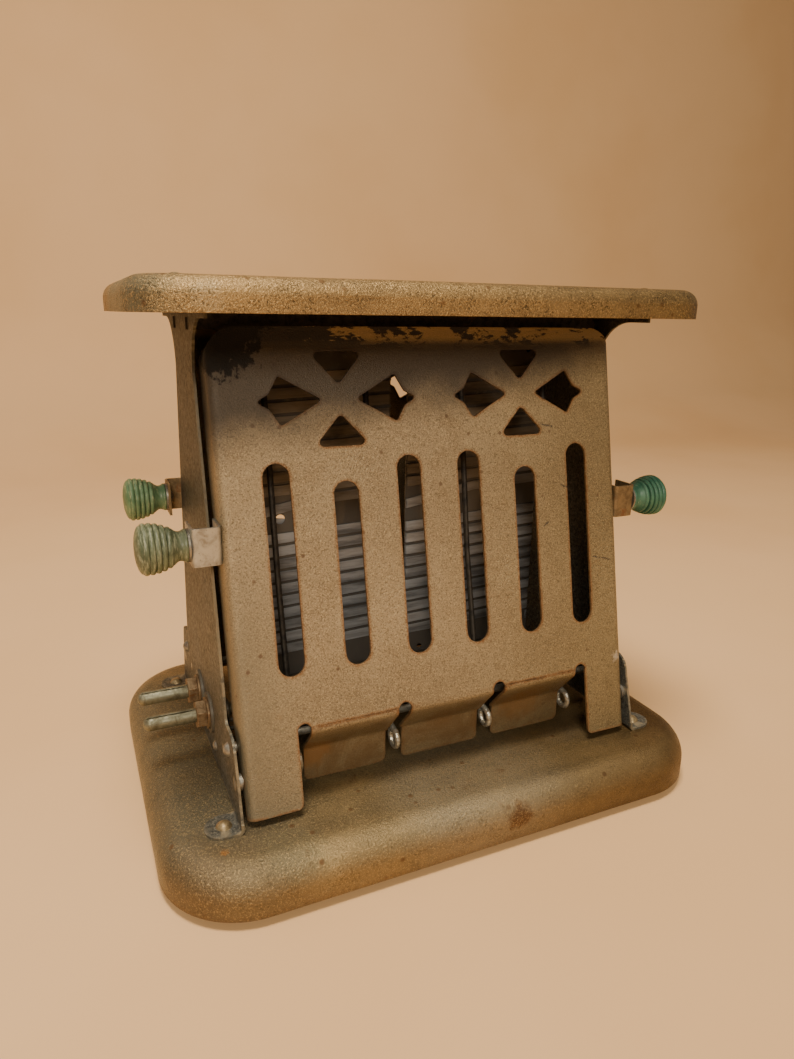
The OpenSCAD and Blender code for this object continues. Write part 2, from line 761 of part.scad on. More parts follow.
module front_lead() {
  lead(lead_x, -pin_pitch / 2, 0);
}

module rear_lead() {
  lead(-lead_x, pin_pitch / 2, lead_step);
}

// Terminals: split pins in mica bushes, clamped by nuts on both sides of the left end frame
bush_d = 7.8;
washer_t = 0.8;
mica_d = 13.6;
nut_t = 3.2;
shoulder_x = -frame_x - 2 * washer_t - nut_t;
seam_w = 0.5;
seam_depth = 0.7;
seam_turn = 15;

module terminal_pin(y) {
  x_tip = -frame_x - pin_reach;
  pin_long = shoulder_x - x_tip;
  color("#a9a585")
    difference() {
      union() {
        bar_x(shoulder_x - cut, inner_end, y, pin_z, pin_shank_d);
        translate([shoulder_x, y, pin_z])
          rotate([0, -90, 0])
            rotate_extrude() {
              square([pin_d / 2, pin_long - pin_d / 2]);
              intersection() {
                translate([0, pin_long - pin_d / 2]) circle(d = pin_d);
                square([pin_d / 2, pin_long]);
              }
            }
      }
      along_x(x_tip - cut, shoulder_x - 1.2)
        translate([y, pin_z])
          rotate(seam_turn)
            translate([-seam_w / 2, pin_d / 2 - seam_depth]) square([seam_w, 2]);
    }
}

module front_terminal_pin() {
  terminal_pin(-pin_pitch / 2);
}

module rear_terminal_pin() {
  terminal_pin(pin_pitch / 2);
}

// A ring round each terminal pin, from x0 along +X
module pin_rings(x0, t, d, bore, sides = 48) {
  for (y = [-1, 1])
    translate([x0, y * pin_pitch / 2, pin_z])
      rotate([0, 90, 0])
        difference() {
          cylinder(h = t, d = d, $fn = sides);
          translate([0, 0, -cut]) cylinder(h = t + 2 * cut, d = bore, $fn = 48);
        }
}

module mica_washers() {
  color("#b9b4a4") pin_rings(-frame_x - washer_t, washer_t, mica_d, pin_shank_d);
}

module terminal_washers() {
  color(bare) pin_rings(-frame_x - 2 * washer_t, washer_t, 10.6, pin_shank_d);
}

module terminal_nuts() {
  color(rusty)
    pin_rings(shoulder_x, nut_t, nut_af / cos(30), pin_shank_d, 6);
}

module mica_bushes() {
  color("#b9b4a4") pin_rings(-frame_x, sheet, bush_d, pin_shank_d);
}

module inner_mica_plate() {
  color("#b9b4a4")
    difference() {
      translate([-frame_x + sheet, -insulator_rivet_y - 4, rivet_hole_z - 3.6])
        cube([mica_plate_t, 2 * insulator_rivet_y + 8, pin_z - rivet_hole_z + 11]);
      for (y = [-1, 1]) {
        bar_x(-frame_x, -frame_x + 3, y * pin_pitch / 2, pin_z, pin_shank_d);
        bar_x(-frame_x, -frame_x + 3, y * insulator_rivet_y, rivet_hole_z, 2);
      }
      translate([-frame_x, -rail_half - 0.6, rivet_hole_z - 4])
        cube([3, 2 * rail_half + 1.2, 3]);
    }
}

module inner_nuts() {
  color(rusty)
    pin_rings(-frame_x + sheet + mica_plate_t, inner_nut_t, nut_af / cos(30), pin_shank_d, 6);
}

module insulator_rivets() {
  color(bare)
    for (y = [-1, 1])
      translate([-frame_x, y * insulator_rivet_y, rivet_hole_z])
        rotate([0, 90, 0]) {
          cylinder(h = sheet + mica_plate_t, d = 2);
          translate([0, 0, sheet + mica_plate_t]) dome(3.6, 0.9);
          mirror([0, 0, 1]) dome(3.6, 1.1);
        }
}

// Guards: wires that keep the bread off the cards, carried by a rod at the foot and the upper rail
guard_outer = tongue_outer + outer_gap / 2;
guard_x = [-guard_outer, -keyhole_pitch / 2, keyhole_pitch / 2, guard_outer];
rod_end_d = 1.8;
eye_y = tongue_y + 0.4;
eye_z = 27.8;

module guard_rod() {
  color("#8d8a80") {
    bar_x(-frame_x + sheet, frame_x - sheet, -rod_y, rod_z, rod_d);
    bar_x(-frame_x, frame_x, -rod_y, rod_z, rod_end_d);
  }
}

module front_guard_rod() {
  guard_rod();
}

module rear_guard_rod() {
  mirror([0, 1, 0]) guard_rod();
}

// Middle line of a front guard wire in (Y, Z): down from the rail, out past the rod and round its eye
guard_out = rod_y + (rod_d + wire_d) / 2 + 0.12;
guard_line = concat(
  bent([[-guard_top_y, upper_z + 0.4], [-guard_top_y, upper_z - 6],
    [-(guard_out + guard_top_y) / 2 - 0.2, (rod_z + upper_z) / 2 - 14],
    [-guard_out + 2.3, rod_z + 13], [-guard_out, rod_z - 0.6],
    [-eye_y + 0.6, eye_z + eye_r], [-eye_y, eye_z + eye_r]], 3, 3),
  arc([-eye_y, eye_z], eye_r, 110, 390, 14));

// A guard wire as one tube laid along its middle line, in a plane of constant X
module guard_wire() {
  n = 10;
  m = len(guard_line);
  along = [for (i = [0 : m - 1])
    unit(guard_line[min(i + 1, m - 1)] - guard_line[max(i - 1, 0)])];
  points = [for (i = [0 : m - 1], k = [0 : n - 1])
    let (c = wire_d / 2 * cos(360 * k / n), w = wire_d / 2 * sin(360 * k / n))
      [w, guard_line[i][0] - c * along[i][1], guard_line[i][1] + c * along[i][0]]];
  sides = [for (i = [0 : m - 2], k = [0 : n - 1]) each
    [[n * i + k, n * i + n + (k + 1) % n, n * i + (k + 1) % n],
      [n * i + k, n * i + n + k, n * i + n + (k + 1) % n]]];
  ends = [for (k = [1 : n - 2]) each [[0, k, k + 1], [n * m - n, n * m - n + k + 1, n * m - n + k]]];
  polyhedron(points, concat(sides, ends));
}

module guard_wires() {
  color("#8d8a80")
    for (x = guard_x)
      translate([x, 0, 0]) guard_wire();
}

module front_guard_wires() {
  guard_wires();
}

module rear_guard_wires() {
  mirror([0, 1, 0]) guard_wires();
}

// Hinge pins: shouldered pins riveted in the legs of the end frames
pin_shoulder_d = 5;
pin_head_d = 4.6;
side_gap = 0.35;
module hinge_pins() {
  flange_in = door_half - sheet;
  color("#8d8a80")
    for (x = [-1, 1])
      mirror([x > 0 ? 1 : 0, 0, 0]) {
        bar_x(-frame_x, -flange_in + 1.2, -hinge_y, hinge_z, hinge_d);
        bar_x(-frame_x + sheet, -door_half - side_gap, -hinge_y, hinge_z, pin_shoulder_d);
        translate([-flange_in + side_gap, -hinge_y, hinge_z])
          rotate([0, 90, 0]) dome(pin_head_d, 1.4);
      }
}

module front_hinge_pins() {
  hinge_pins();
}

module rear_hinge_pins() {
  mirror([0, 1, 0]) hinge_pins();
}

// Doors: a face with slots and pierced ornaments, bent sides, two legs and a stepped-in bread rest
rest_bend_s = -18.3;
face_end_s = -16.4;
rest_start_s = -14;
keyhole_top_s = -14.8;
corner_r = 9;
ornament_x = 1.5 * slot_pitch;

// Puts shapes drawn in the door's own frame (X, depth t, height s) in place on the closed front door
module on_door() {
  translate([0, face_y(0), face_z(0)])
    rotate([-door_lean, 0, 0]) children();
}

// Cuts a shape drawn in (X, s) through the door's face, down to depth t behind it
module through_face(t = sheet + cut) {
  on_door()
    translate([0, t, 0])
      rotate([90, 0, 0])
        linear_extrude(t + cut) children();
}

// Keyhole of width w about x, open at its lower end
module keyhole(x, w, down) {
  translate([x, keyhole_top_s - w / 2]) circle(d = w);
  translate([x - w / 2, keyhole_top_s - w / 2 - down]) square([w, down]);
}

// A polygon whose convex corners are rounded by radius r: each corner holds a circle and wedges join them
module soft_polygon(p, r) {
  n = len(p);
  q = [for (i = [0 : n - 1])
    let (a = unit(p[(i + n - 1) % n] - p[i]), b = unit(p[(i + 1) % n] - p[i]),
      half = acos(a * b) / 2, reach = r / tan(half), c = p[i] + unit(a + b) * r / sin(half),
      s = p[i] + a * reach - c, turn = (180 - 2 * half) * (a[0] * b[1] - a[1] * b[0] > 0 ? -1 : 1))
    for (k = [0 : 5]) c + [s[0] * cos(turn * k / 5) - s[1] * sin(turn * k / 5),
      s[0] * sin(turn * k / 5) + s[1] * cos(turn * k / 5)]];
  polygon(q);
}

// Pierced ornament: two triangles over each other and a four-pointed figure on each side
module ornament() {
  soft_polygon([[-8.6, 94.2], [8.6, 94.2], [0, 84.4]], 1.3);
  soft_polygon([[-8.8, 66.5], [8.8, 66.5], [0, 76]], 1.3);
  for (side = [-1, 1])
    mirror([side > 0 ? 0 : 1, 0])
      soft_polygon(concat([[5.2, 80.2], [18.2, 87.4]],
        [[21.2, 82.2], [25.2, 80.1], [21.2, 77.9]], [[18.2, 73.1]]), 0.8);
}

module face_slots() {
  for (i = [-2.5 : 1 : 2.5]) {
    l = abs(i) == 1.5 ? slot_short : slot_long;
    translate([i * slot_pitch, 0]) {
      translate([0, slot_w / 2]) circle(d = slot_w);
      translate([0, l - slot_w / 2]) circle(d = slot_w);
      translate([-slot_w / 2, slot_w / 2]) square([slot_w, l - slot_w]);
    }
  }
}

// The face with its two bent sides, before anything is cut away
module door_channel() {
  on_door()
    translate([0, 0, -face_down])
      linear_extrude(face_up + face_down)
        polygon(strip(bent([[-door_half, side_depth], [-door_half, 0], [door_half, 0],
          [door_half, side_depth]], bend_r, 8), sheet));
}

// What is kept of the channel, seen from the front: rounded top corners and two legs with rounded tips
module door_front_view() {
  inner = door_half - leg_w;
  translate([-door_half, 0]) square([2 * door_half, face_up - corner_r]);
  translate([-door_half + corner_r, 0]) square([2 * (door_half - corner_r), face_up]);
  for (x = [-1, 1]) {
    translate([x * (door_half - corner_r), face_up - corner_r]) circle(r = corner_r);
    mirror([x > 0 ? 0 : 1, 0]) {
      translate([inner, -face_down + 2]) square([leg_w, face_down]);
      translate([inner + 2, -face_down]) square([leg_w - 2, 4]);
      translate([inner + 2, -face_down + 2]) circle(r = 2);
    }
  }
  translate([-inner - cut, face_end_s]) square([2 * inner + 2 * cut, -face_end_s]);
}

// What is kept of the bent sides, seen from the end: rounded about the hinge line at the foot
module door_side_view() {
  y_back = side_depth / cos(door_lean);
  ear = 5.2;
  polygon([[face_y(face_up + 2, -2), face_z(face_up + 2, -2)],
    [face_y(face_s(hinge_z - ear), -2), hinge_z - ear],
    [face_y(face_s(hinge_z - ear), bend_r + 0.6), hinge_z - ear],
    [-hinge_y, hinge_z - ear],
    [-hinge_y + ear * 0.8, hinge_z - ear * 0.6],
    [-hinge_y + ear + 1.2, hinge_z + 2.4],
    [-hinge_y + 7.9 * cos(stop_angle), hinge_z + 7.9 * sin(stop_angle)],
    [-hinge_y + 13 * cos(stop_angle), hinge_z + 13 * sin(stop_angle)],
    [face_y(-6, side_depth), face_z(-6, side_depth)],
    [face_y(face_up - 9, side_depth + cut), face_z(face_up - 9, side_depth + cut)],
    [face_y(face_up, side_depth - 5), face_z(face_up, side_depth - 5)]]);
  polygon([[face_y(-face_down - 2, -2), face_z(-face_down - 2, -2)],
    [face_y(-face_down - 2, bend_r), face_z(-face_down - 2, bend_r)],
    [face_y(0, bend_r), face_z(0, bend_r)], [face_y(0, -2), face_z(0, -2)]]);
}

// Section of the bread rest: from the face it slopes in to the tongues and drops towards the base
module rest_section() {
  polygon(strip(bent([[face_y(rest_start_s), face_z(rest_start_s)],
    [face_y(rest_bend_s), face_z(rest_bend_s)], [-tongue_y, rest_z],
    [-tongue_y, tongue_z]], 2.6), sheet));
}

module bread_rest() {
  difference() {
    along_x(-tongue_outer, tongue_outer) rest_section();
    for (x = [-1, 1])
      translate([x * keyhole_pitch / 2 - tongue_gap / 2, -80, tongue_z - 5])
        cube([tongue_gap, 60, rest_z - tongue_z + 5]);
    for (x = [-tongue_outer, -keyhole_pitch / 2 - tongue_gap / 2, -tongue_half, tongue_half,
      keyhole_pitch / 2 + tongue_gap / 2, tongue_outer], side = [-1, 1])
      if (tip_side(x) == side)
        translate([x, -tongue_y, tongue_z])
          rotate([90, 0, 0]) tip_corner(side);
  }
}

// Side on which a tongue lies, seen from one of its edges
function tip_side(x) = abs(x + tongue_outer) < 0.01 || abs(x + tongue_half) < 0.01
  || abs(x - keyhole_pitch / 2 - tongue_gap / 2) < 0.01 ? 1 : -1;

// The sharp corner that is cut from a tongue's tip
module tip_corner(side) {
  r = 2;
  translate([0, 0, -5])
    linear_extrude(10)
      mirror([side > 0 ? 0 : 1, 0])
        difference() {
          translate([-cut, -cut]) square(r + cut);
          translate([r, r]) circle(r = r);
        }
}

module door() {
  color(enamel)
    difference() {
      union() {
        difference() {
          intersection() {
            door_channel();
            on_door()
              translate([0, side_depth + 2, 0])
                rotate([90, 0, 0])
                  linear_extrude(side_depth + 4) door_front_view();
            along_x(-door_half - cut, door_half + cut) door_side_view();
          }
          for (x = [-1, 1])
            through_face() keyhole(x * guard_outer, outer_gap, 2);
        }
        bread_rest();
      }
      through_face() face_slots();
      for (x = [-1, 1])
        through_face() translate([x * ornament_x, 0]) ornament();
      for (x = [-1, 1])
        through_face(14) keyhole(x * keyhole_pitch / 2, keyhole_w, 30);
      for (x = [-1, 1]) {
        bar_x(x * door_half - 2, x * door_half + 2, -hinge_y, hinge_z, hinge_d + 2 * hinge_play);
        bar_x(x * door_half - 2, x * door_half + 2, knob_y + 3.4, knob_z - 2.6, rivet_s);
        bar_x(x * door_half - 2, x * door_half + 2, knob_y + 3.4, knob_z + 2.6, rivet_s);
      }
    }
}

module front_door() {
  door();
}

module rear_door() {
  rotate([0, 0, 180]) door();
}

// Knob brackets: bent straps riveted to the door's sides, each with a knob screwed to its end
knob_y = face_y(knob_up, knob_inset);
knob_z = face_z(knob_up, knob_inset);
strap = 0.8;
rivet_s = 1.8;
strap_front = knob_y - 4.4;

// The strap on the -X side of the front door
module bracket(reach) {
  x_end = -door_half - reach;
  back = knob_y + 5.4;
  color("#b0aea4")
    difference() {
      translate([0, 0, knob_z - bracket_h / 2])
        linear_extrude(bracket_h)
          polygon(strip(bent([[-door_half, back], [-door_half, strap_front],
            [x_end, strap_front], [x_end, back]], 1.4), -strap * 0.999));
      bar_x(x_end - cut, x_end + strap + cut, knob_y, knob_z, screw_d);
      for (z = [-1, 1])
        bar_x(-door_half - strap - cut, -door_half + cut, knob_y + 3.4, knob_z + z * 2.6, rivet_s);
    }
}

module bracket_rivets() {
  color("#8d8a80")
    for (x = [-1, 1], z = [-1, 1])
      mirror([x > 0 ? 1 : 0, 0, 0]) {
        bar_x(-door_half - strap, -door_half + sheet, knob_y + 3.4, knob_z + z * 2.6, rivet_s);
        translate([-door_half + sheet, knob_y + 3.4, knob_z + z * 2.6])
          rotate([0, 90, 0]) dome(3.2, 0.9);
      }
}

knob_washer_t = 0.6;
module knob_washers(reach) {
  color(bare)
    for (x = [-1, 1])
      mirror([x > 0 ? 1 : 0, 0, 0])
        translate([-door_half - reach - knob_washer_t, knob_y, knob_z])
          rotate([0, 90, 0])
            difference() {
              cylinder(h = knob_washer_t, d = 9.6);
              translate([0, 0, -cut]) cylinder(h = 4, d = screw_d);
            }
}

module knob_screws(reach) {
  color(bare)
    for (x = [-1, 1])
      mirror([x > 0 ? 1 : 0, 0, 0])
        translate([-door_half - reach, knob_y, knob_z]) {
          rotate([0, 90, 0])
            translate([0, 0, -knob_washer_t - 8.6]) cylinder(h = 8.6 + knob_washer_t + strap, d = screw_d);
          translate([strap, 0, 0]) rotate([0, 90, 0]) dome(5.4, 1.5);
        }
}

// Turned knob: a flared foot, a hollow neck and a head with five rounded rings, crown along +Z
ring_count = 5;
neck_l = 0.31 * knob_l;
ring_h = (0.86 * knob_l - neck_l) / ring_count;
function ring_r(i) = knob_d / 2 * (1 - 0.2 * pow((ring_count - 1.25 - i) / (ring_count - 1.25), 2));

function knob_profile() = concat(
  [[0, 0], [0.31 * knob_d, 0], [0.32 * knob_d, 0.03 * knob_l]],
  [for (i = [0 : 6]) [knob_d * (0.32 - 0.055 * sin(180 * i / 6) + 0.005 * i), knob_l * (0.05 + 0.035 * i)]],
  [for (i = [0 : ring_count - 1], a = [0 : 30 : 180])
    [ring_r(i) - 0.45 + 0.45 * sin(a), neck_l + ring_h * (i + 0.06 + 0.88 * (1 - cos(a)) / 2)]],
  [for (a = [15 : 15 : 90]) [(ring_r(ring_count - 1) - 0.5) * cos(a),
    0.86 * knob_l + 0.14 * knob_l * sin(a)]]);

module knob() {
  difference() {
    rotate_extrude() polygon(knob_profile());
    translate([0, 0, -cut]) cylinder(h = 9 + cut, d = screw_d);
  }
}

module knob_at(reach) {
  translate([-door_half - reach - knob_washer_t, knob_y, knob_z])
    rotate([0, -90, 0]) knob();
}

module front_left_bracket() {
  bracket(front_reach);
}

module front_right_bracket() {
  mirror([1, 0, 0]) bracket(front_reach);
}

module rear_left_bracket() {
  mirror([0, 1, 0]) bracket(rear_reach);
}

module rear_right_bracket() {
  mirror([0, 1, 0]) mirror([1, 0, 0]) bracket(rear_reach);
}

module front_bracket_rivets() {
  bracket_rivets();
}

module rear_bracket_rivets() {
  mirror([0, 1, 0]) bracket_rivets();
}

module front_knob_washers() {
  knob_washers(front_reach);
}

module rear_knob_washers() {
  mirror([0, 1, 0]) knob_washers(rear_reach);
}

module front_knob_screws() {
  knob_screws(front_reach);
}

module rear_knob_screws() {
  mirror([0, 1, 0]) knob_screws(rear_reach);
}

module front_left_knob() {
  color("#7d8c6c") knob_at(front_reach);
}

module front_right_knob() {
  color("#3f8a68") mirror([1, 0, 0]) knob_at(front_reach);
}

module rear_left_knob() {
  color(green) mirror([0, 1, 0]) knob_at(rear_reach);
}

module rear_right_knob() {
  color(green) mirror([0, 1, 0]) mirror([1, 0, 0]) knob_at(rear_reach);
}

base_pan();
bottom_plate();
base_feet();
foot_rivets();
tie_bolts();
tie_nuts();
left_end_frame();
right_end_frame();
frame_rivets();
top_plate();
plate_rivets();
stop_studs();
upper_rail();
lower_rail();
left_card();
right_card();
left_ribbon();
right_ribbon();
ribbon_rivets();
ribbon_bridge();
front_lead();
rear_lead();
front_terminal_pin();
rear_terminal_pin();
terminal_nuts();
terminal_washers();
mica_washers();
mica_bushes();
inner_mica_plate();
inner_nuts();
insulator_rivets();
front_guard_rod();
rear_guard_rod();
front_guard_wires();
rear_guard_wires();
front_hinge_pins();
rear_hinge_pins();
front_door();
rear_door();
front_left_bracket();
front_right_bracket();
rear_left_bracket();
rear_right_bracket();
front_bracket_rivets();
rear_bracket_rivets();
front_knob_washers();
rear_knob_washers();
front_knob_screws();
rear_knob_screws();
front_left_knob();
front_right_knob();
rear_left_knob();
rear_right_knob();
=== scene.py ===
import math
import bpy
import bmesh
from mathutils import Matrix, Vector, kdtree, noise


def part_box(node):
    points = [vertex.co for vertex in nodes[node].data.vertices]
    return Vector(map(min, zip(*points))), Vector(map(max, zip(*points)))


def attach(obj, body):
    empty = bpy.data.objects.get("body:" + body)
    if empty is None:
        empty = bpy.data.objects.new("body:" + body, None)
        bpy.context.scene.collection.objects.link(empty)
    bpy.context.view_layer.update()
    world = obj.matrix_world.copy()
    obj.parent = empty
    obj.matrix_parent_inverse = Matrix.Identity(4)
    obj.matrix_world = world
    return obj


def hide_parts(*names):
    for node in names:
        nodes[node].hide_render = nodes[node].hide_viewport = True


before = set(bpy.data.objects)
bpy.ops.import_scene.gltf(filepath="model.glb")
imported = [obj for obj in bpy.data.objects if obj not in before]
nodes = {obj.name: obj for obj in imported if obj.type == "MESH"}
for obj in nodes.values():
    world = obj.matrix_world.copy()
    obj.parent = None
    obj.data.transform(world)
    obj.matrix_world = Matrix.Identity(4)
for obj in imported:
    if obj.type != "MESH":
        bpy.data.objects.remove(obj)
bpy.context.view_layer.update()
MM = 0.001

# Table, light and camera: a warm tan table top that sweeps up behind the toaster, warm lights above
# and in front with weak ones at the sides, and the camera where the photograph was taken from.
scene = bpy.context.scene
TABLE_NEAR = ((-1.4, -1.2, 0), (1.4, -1.2, 0))
TABLE_SWEEP = ((0, 1.75, 0), (0, 0.16, 0.04), (0, 0.12, 0.13), (0, 0.05, 0.9))
CAMERA_AT = (-0.10567, -0.23355, 0.16251)
LOOK_YAW = math.radians(24.356)
LOOK_DOWN = math.radians(16.364)
LOOK_ROLL = math.radians(0.798)
SENSOR_TALL = 36.0
FOCAL_SHARE = 734.2 / 1059.0    # the focal length over the height of the picture


def tree_of(name):
    """A fresh material with its shader; returns the material, its node tree and the shader."""
    mat = bpy.data.materials.new(name)
    mat.use_nodes = True
    tree = mat.node_tree
    shader = next(n for n in tree.nodes if n.type == "BSDF_PRINCIPLED")
    return mat, tree, shader


def put(tree, kind, sockets=None, out=0, **settings):
    """One shader node's output; what goes into a socket may be another node's output."""
    n = tree.nodes.new("ShaderNode" + kind)
    for key, value in settings.items():
        setattr(n, key, value)
    for key, value in (sockets or {}).items():
        if isinstance(value, bpy.types.NodeSocket):
            tree.links.new(value, n.inputs[key])
        else:
            n.inputs[key].default_value = value
    return n.outputs[out]


def place(tree):
    """The piece's own coordinates, in metres."""
    return put(tree, "TexCoord", out=3)


def cloud(tree, scale, detail=4.0, rough=0.55, at=None, warp=0.0):
    """Soft noise from 0 to 1."""
    return put(tree, "TexNoise", {"Vector": at or place(tree), "Scale": scale, "Detail": detail,
                                  "Roughness": rough, "Distortion": warp})


def step(tree, value, low, high, to_low=0.0, to_high=1.0):
    """A smooth step of a value between two levels."""
    levels = {"Value": value, "From Min": low, "From Max": high, "To Min": to_low, "To Max": to_high}
    return put(tree, "MapRange", levels, interpolation_type="SMOOTHSTEP")


def times(tree, a, b):
    return put(tree, "Math", {0: a, 1: b}, operation="MULTIPLY")


def plus(tree, a, b):
    return put(tree, "Math", {0: a, 1: b}, operation="ADD")


def minus(tree, a, b):
    return put(tree, "Math", {0: a, 1: b}, operation="SUBTRACT")


def blended(tree, share, a, b, mode="MIX"):
    """Colour a turned into colour b by a share."""
    n = tree.nodes.new("ShaderNodeMix")
    n.data_type = "RGBA"
    n.blend_type = mode
    for key, value in ((0, share), (6, a), (7, b)):
        if isinstance(value, bpy.types.NodeSocket):
            tree.links.new(value, n.inputs[key])
        else:
            n.inputs[key].default_value = value if key == 0 else (*value, 1.0)
    return n.outputs[2]


def lit(name, at, towards, power, colour, wide):
    """A square lamp that faces a point."""
    light = bpy.data.objects.new(name, bpy.data.lights.new(name, "AREA"))
    light.data.energy = power
    light.data.color = colour
    light.data.size = wide
    light.location = at
    light.rotation_euler = (Vector(towards) - Vector(at)).to_track_quat("-Z", "Y").to_euler()
    scene.collection.objects.link(light)


def made_of(bm, name):
    """The object of a finished mesh."""
    mesh = bpy.data.meshes.new(name)
    bm.to_mesh(mesh)
    bm.free()
    piece = bpy.data.objects.new(name, mesh)
    scene.collection.objects.link(piece)
    return piece


lit("broad_top", (-0.14, -0.16, 1.08), (-0.02, 0, 0.05), 12.0, (1.0, 0.90, 0.75), 0.28)
lit("front_soft", (-0.40, -0.98, 0.70), (-0.03, 0, 0.09), 9.2, (1.0, 0.90, 0.75), 0.36)
lit("right_fill", (1.05, -0.65, 0.50), (0, 0, 0.08), 1.0, (1.0, 0.80, 0.55), 0.6)
lit("left_rim", (-0.8, 0.35, 0.6), (0, 0, 0.12), 0.8, (1.0, 0.95, 0.88), 0.5)

world = bpy.data.worlds.new("soft_room")
scene.world = world
world.use_nodes = True
room = world.node_tree.nodes["Background"]
room.inputs[0].default_value = (1.0, 0.87, 0.72, 1.0)
room.inputs[1].default_value = 0.19

bm = bmesh.new()
edge = bm.edges.new([bm.verts.new(corner) for corner in TABLE_NEAR])
for move in TABLE_SWEEP:
    grown = bmesh.ops.extrude_edge_only(bm, edges=[edge])["geom"]
    ends = [g for g in grown if isinstance(g, bmesh.types.BMVert)]
    edge = next(g for g in grown if isinstance(g, bmesh.types.BMEdge))
    bmesh.ops.translate(bm, verts=ends, vec=move)
for face in bm.faces:
    face.smooth = True
table = made_of(bm, "table")
mat, tree, shader = tree_of("table_top")
tan = blended(tree, step(tree, cloud(tree, 3.0), 0.35, 0.7), (0.78, 0.49, 0.24), (0.73, 0.44, 0.20))
tree.links.new(tan, shader.inputs["Base Color"])
shader.inputs["Roughness"].default_value = 0.85
table.data.materials.append(mat)

ahead = Vector((math.sin(LOOK_YAW) * math.cos(LOOK_DOWN), math.cos(LOOK_YAW) * math.cos(LOOK_DOWN),
                -math.sin(LOOK_DOWN)))
level = Vector((math.cos(LOOK_YAW), -math.sin(LOOK_YAW), 0))
upright = level.cross(ahead)
right = math.cos(LOOK_ROLL) * level + math.sin(LOOK_ROLL) * upright
up = right.cross(ahead)
camera = bpy.data.objects.new("camera", bpy.data.cameras.new("camera"))
camera.data.sensor_fit = "VERTICAL"
camera.data.sensor_height = SENSOR_TALL
camera.data.lens = SENSOR_TALL * FOCAL_SHARE
camera.data.clip_start = 0.01
camera.matrix_world = Matrix((
    (right.x, up.x, -ahead.x, CAMERA_AT[0]),
    (right.y, up.y, -ahead.y, CAMERA_AT[1]),
    (right.z, up.z, -ahead.z, CAMERA_AT[2]),
    (0, 0, 0, 1)))
scene.collection.objects.link(camera)
scene.camera = camera

# Base: one pressed sheet with a broad rolled edge, enamelled gold-brown. The enamel is grainy,
# rusted through in blooms and freckles, and darker where dust and grease have settled.
MARKS_APART = 0.8 * MM    # between the points from which the distance to a cut edge is measured
noise.seed_set(1)         # so that the sheets' dents are the same in each run


def merged(node, flat=0.4):
    """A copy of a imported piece, its doubled points merged and each flat made one face."""
    bm = bmesh.new()
    bm.from_mesh(nodes[node].data)
    bmesh.ops.remove_doubles(bm, verts=bm.verts, dist=2e-7)
    bmesh.ops.dissolve_limit(bm, angle_limit=math.radians(flat), verts=bm.verts, edges=bm.edges)
    return bm


def shade(bm, crease=32):
    """Smooth faces, kept sharp at the edges that turn more than a crease's angle."""
    for f in bm.faces:
        f.smooth = True
    for e in bm.edges:
        e.smooth = len(e.link_faces) != 2 or e.calc_face_angle() < math.radians(crease)


def roll_edges(piece, width, segments, angle):
    """Rounds the edges that turn more than an angle; the width is in millimetres."""
    rolled = piece.modifiers.new("rolled_edges", "BEVEL")
    rolled.width = width * MM
    rolled.segments = segments
    rolled.limit_method = "ANGLE"
    rolled.angle_limit = math.radians(angle)


def sheet_piece(node, pitch, dents, edge_reach, rim=0.0):
    """A finely divided copy of a pressed sheet: merged, cut on a grid, gently dented, edges rolled.

    Its vertices carry the attribute "edge", which is 1 at a cut edge and fades away from it; with a rim
    the flat of the sheet is also divided along its edges, so that the attribute follows them closely.
    The pitch is in metres, the other measures in millimetres."""
    bm = merged(node)
    sharp = [e for e in bm.edges if len(e.link_faces) == 2 and e.calc_face_angle() > math.radians(40)]
    marks = []
    for e in sharp:
        a, b = e.verts[0].co, e.verts[1].co
        count = max(1, int((b - a).length / MARKS_APART))
        marks += [a.lerp(b, (i + 0.5) / count) for i in range(count)]
    near_edge = kdtree.KDTree(len(marks))
    for i, m in enumerate(marks):
        near_edge.insert(m, i)
    near_edge.balance()
    if rim:
        widest = max(bm.faces, key=lambda f: f.calc_area()).normal.copy()
        flat = [f for f in bm.faces if abs(f.normal.dot(widest)) > 0.99999]
        bmesh.ops.inset_region(bm, faces=flat, thickness=rim * MM, use_even_offset=False)
    low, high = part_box(node)
    for axis, normal in enumerate((Vector((1, 0, 0)), Vector((0, 1, 0)), Vector((0, 0, 1)))):
        if high[axis] - low[axis] < 1.5 * pitch:
            continue
        count = int((high[axis] - low[axis]) / pitch)
        for i in range(1, count + 1):
            at = normal * low.lerp(high, i / (count + 1))[axis]
            bmesh.ops.bisect_plane(bm, geom=bm.verts[:] + bm.edges[:] + bm.faces[:], dist=1e-7,
                                   plane_co=at, plane_no=normal)
    bmesh.ops.triangulate(bm, faces=[f for f in bm.faces if len(f.verts) > 4])
    worn = bm.verts.layers.float.new("edge")
    for v in bm.verts:
        v[worn] = math.exp(-near_edge.find(v.co)[2] / (edge_reach * MM))
        drift = noise.noise_vector(v.co * 28.0) * 0.7 + noise.noise_vector(v.co * 75.0) * 0.3
        v.co += drift * dents * MM
        v.co = Vector(min(max(c, a), b) for c, a, b in zip(v.co, low, high))
    shade(bm)
    piece = made_of(bm, node + "_dressed")
    roll_edges(piece, 0.12, 2, 40)
    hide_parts(node)
    return piece


def larger(tree, a, b):
    return put(tree, "Math", {0: a, 1: b}, operation="MAXIMUM")


def carried(tree, name):
    """An attribute that the vertices carry."""
    return put(tree, "Attribute", out=2, attribute_name=name)


def stretched(tree, at, scale):
    """Coordinates in which a pattern is drawn out along the axes with a scale under 1."""
    return put(tree, "Mapping", {"Vector": at, "Scale": scale})


def relief(tree, shader, height, strength, deep):
    """Fine relief on a surface from a height; deep is in metres."""
    bump = put(tree, "Bump", {"Height": height, "Strength": strength, "Distance": deep})
    tree.links.new(bump, shader.inputs["Normal"])


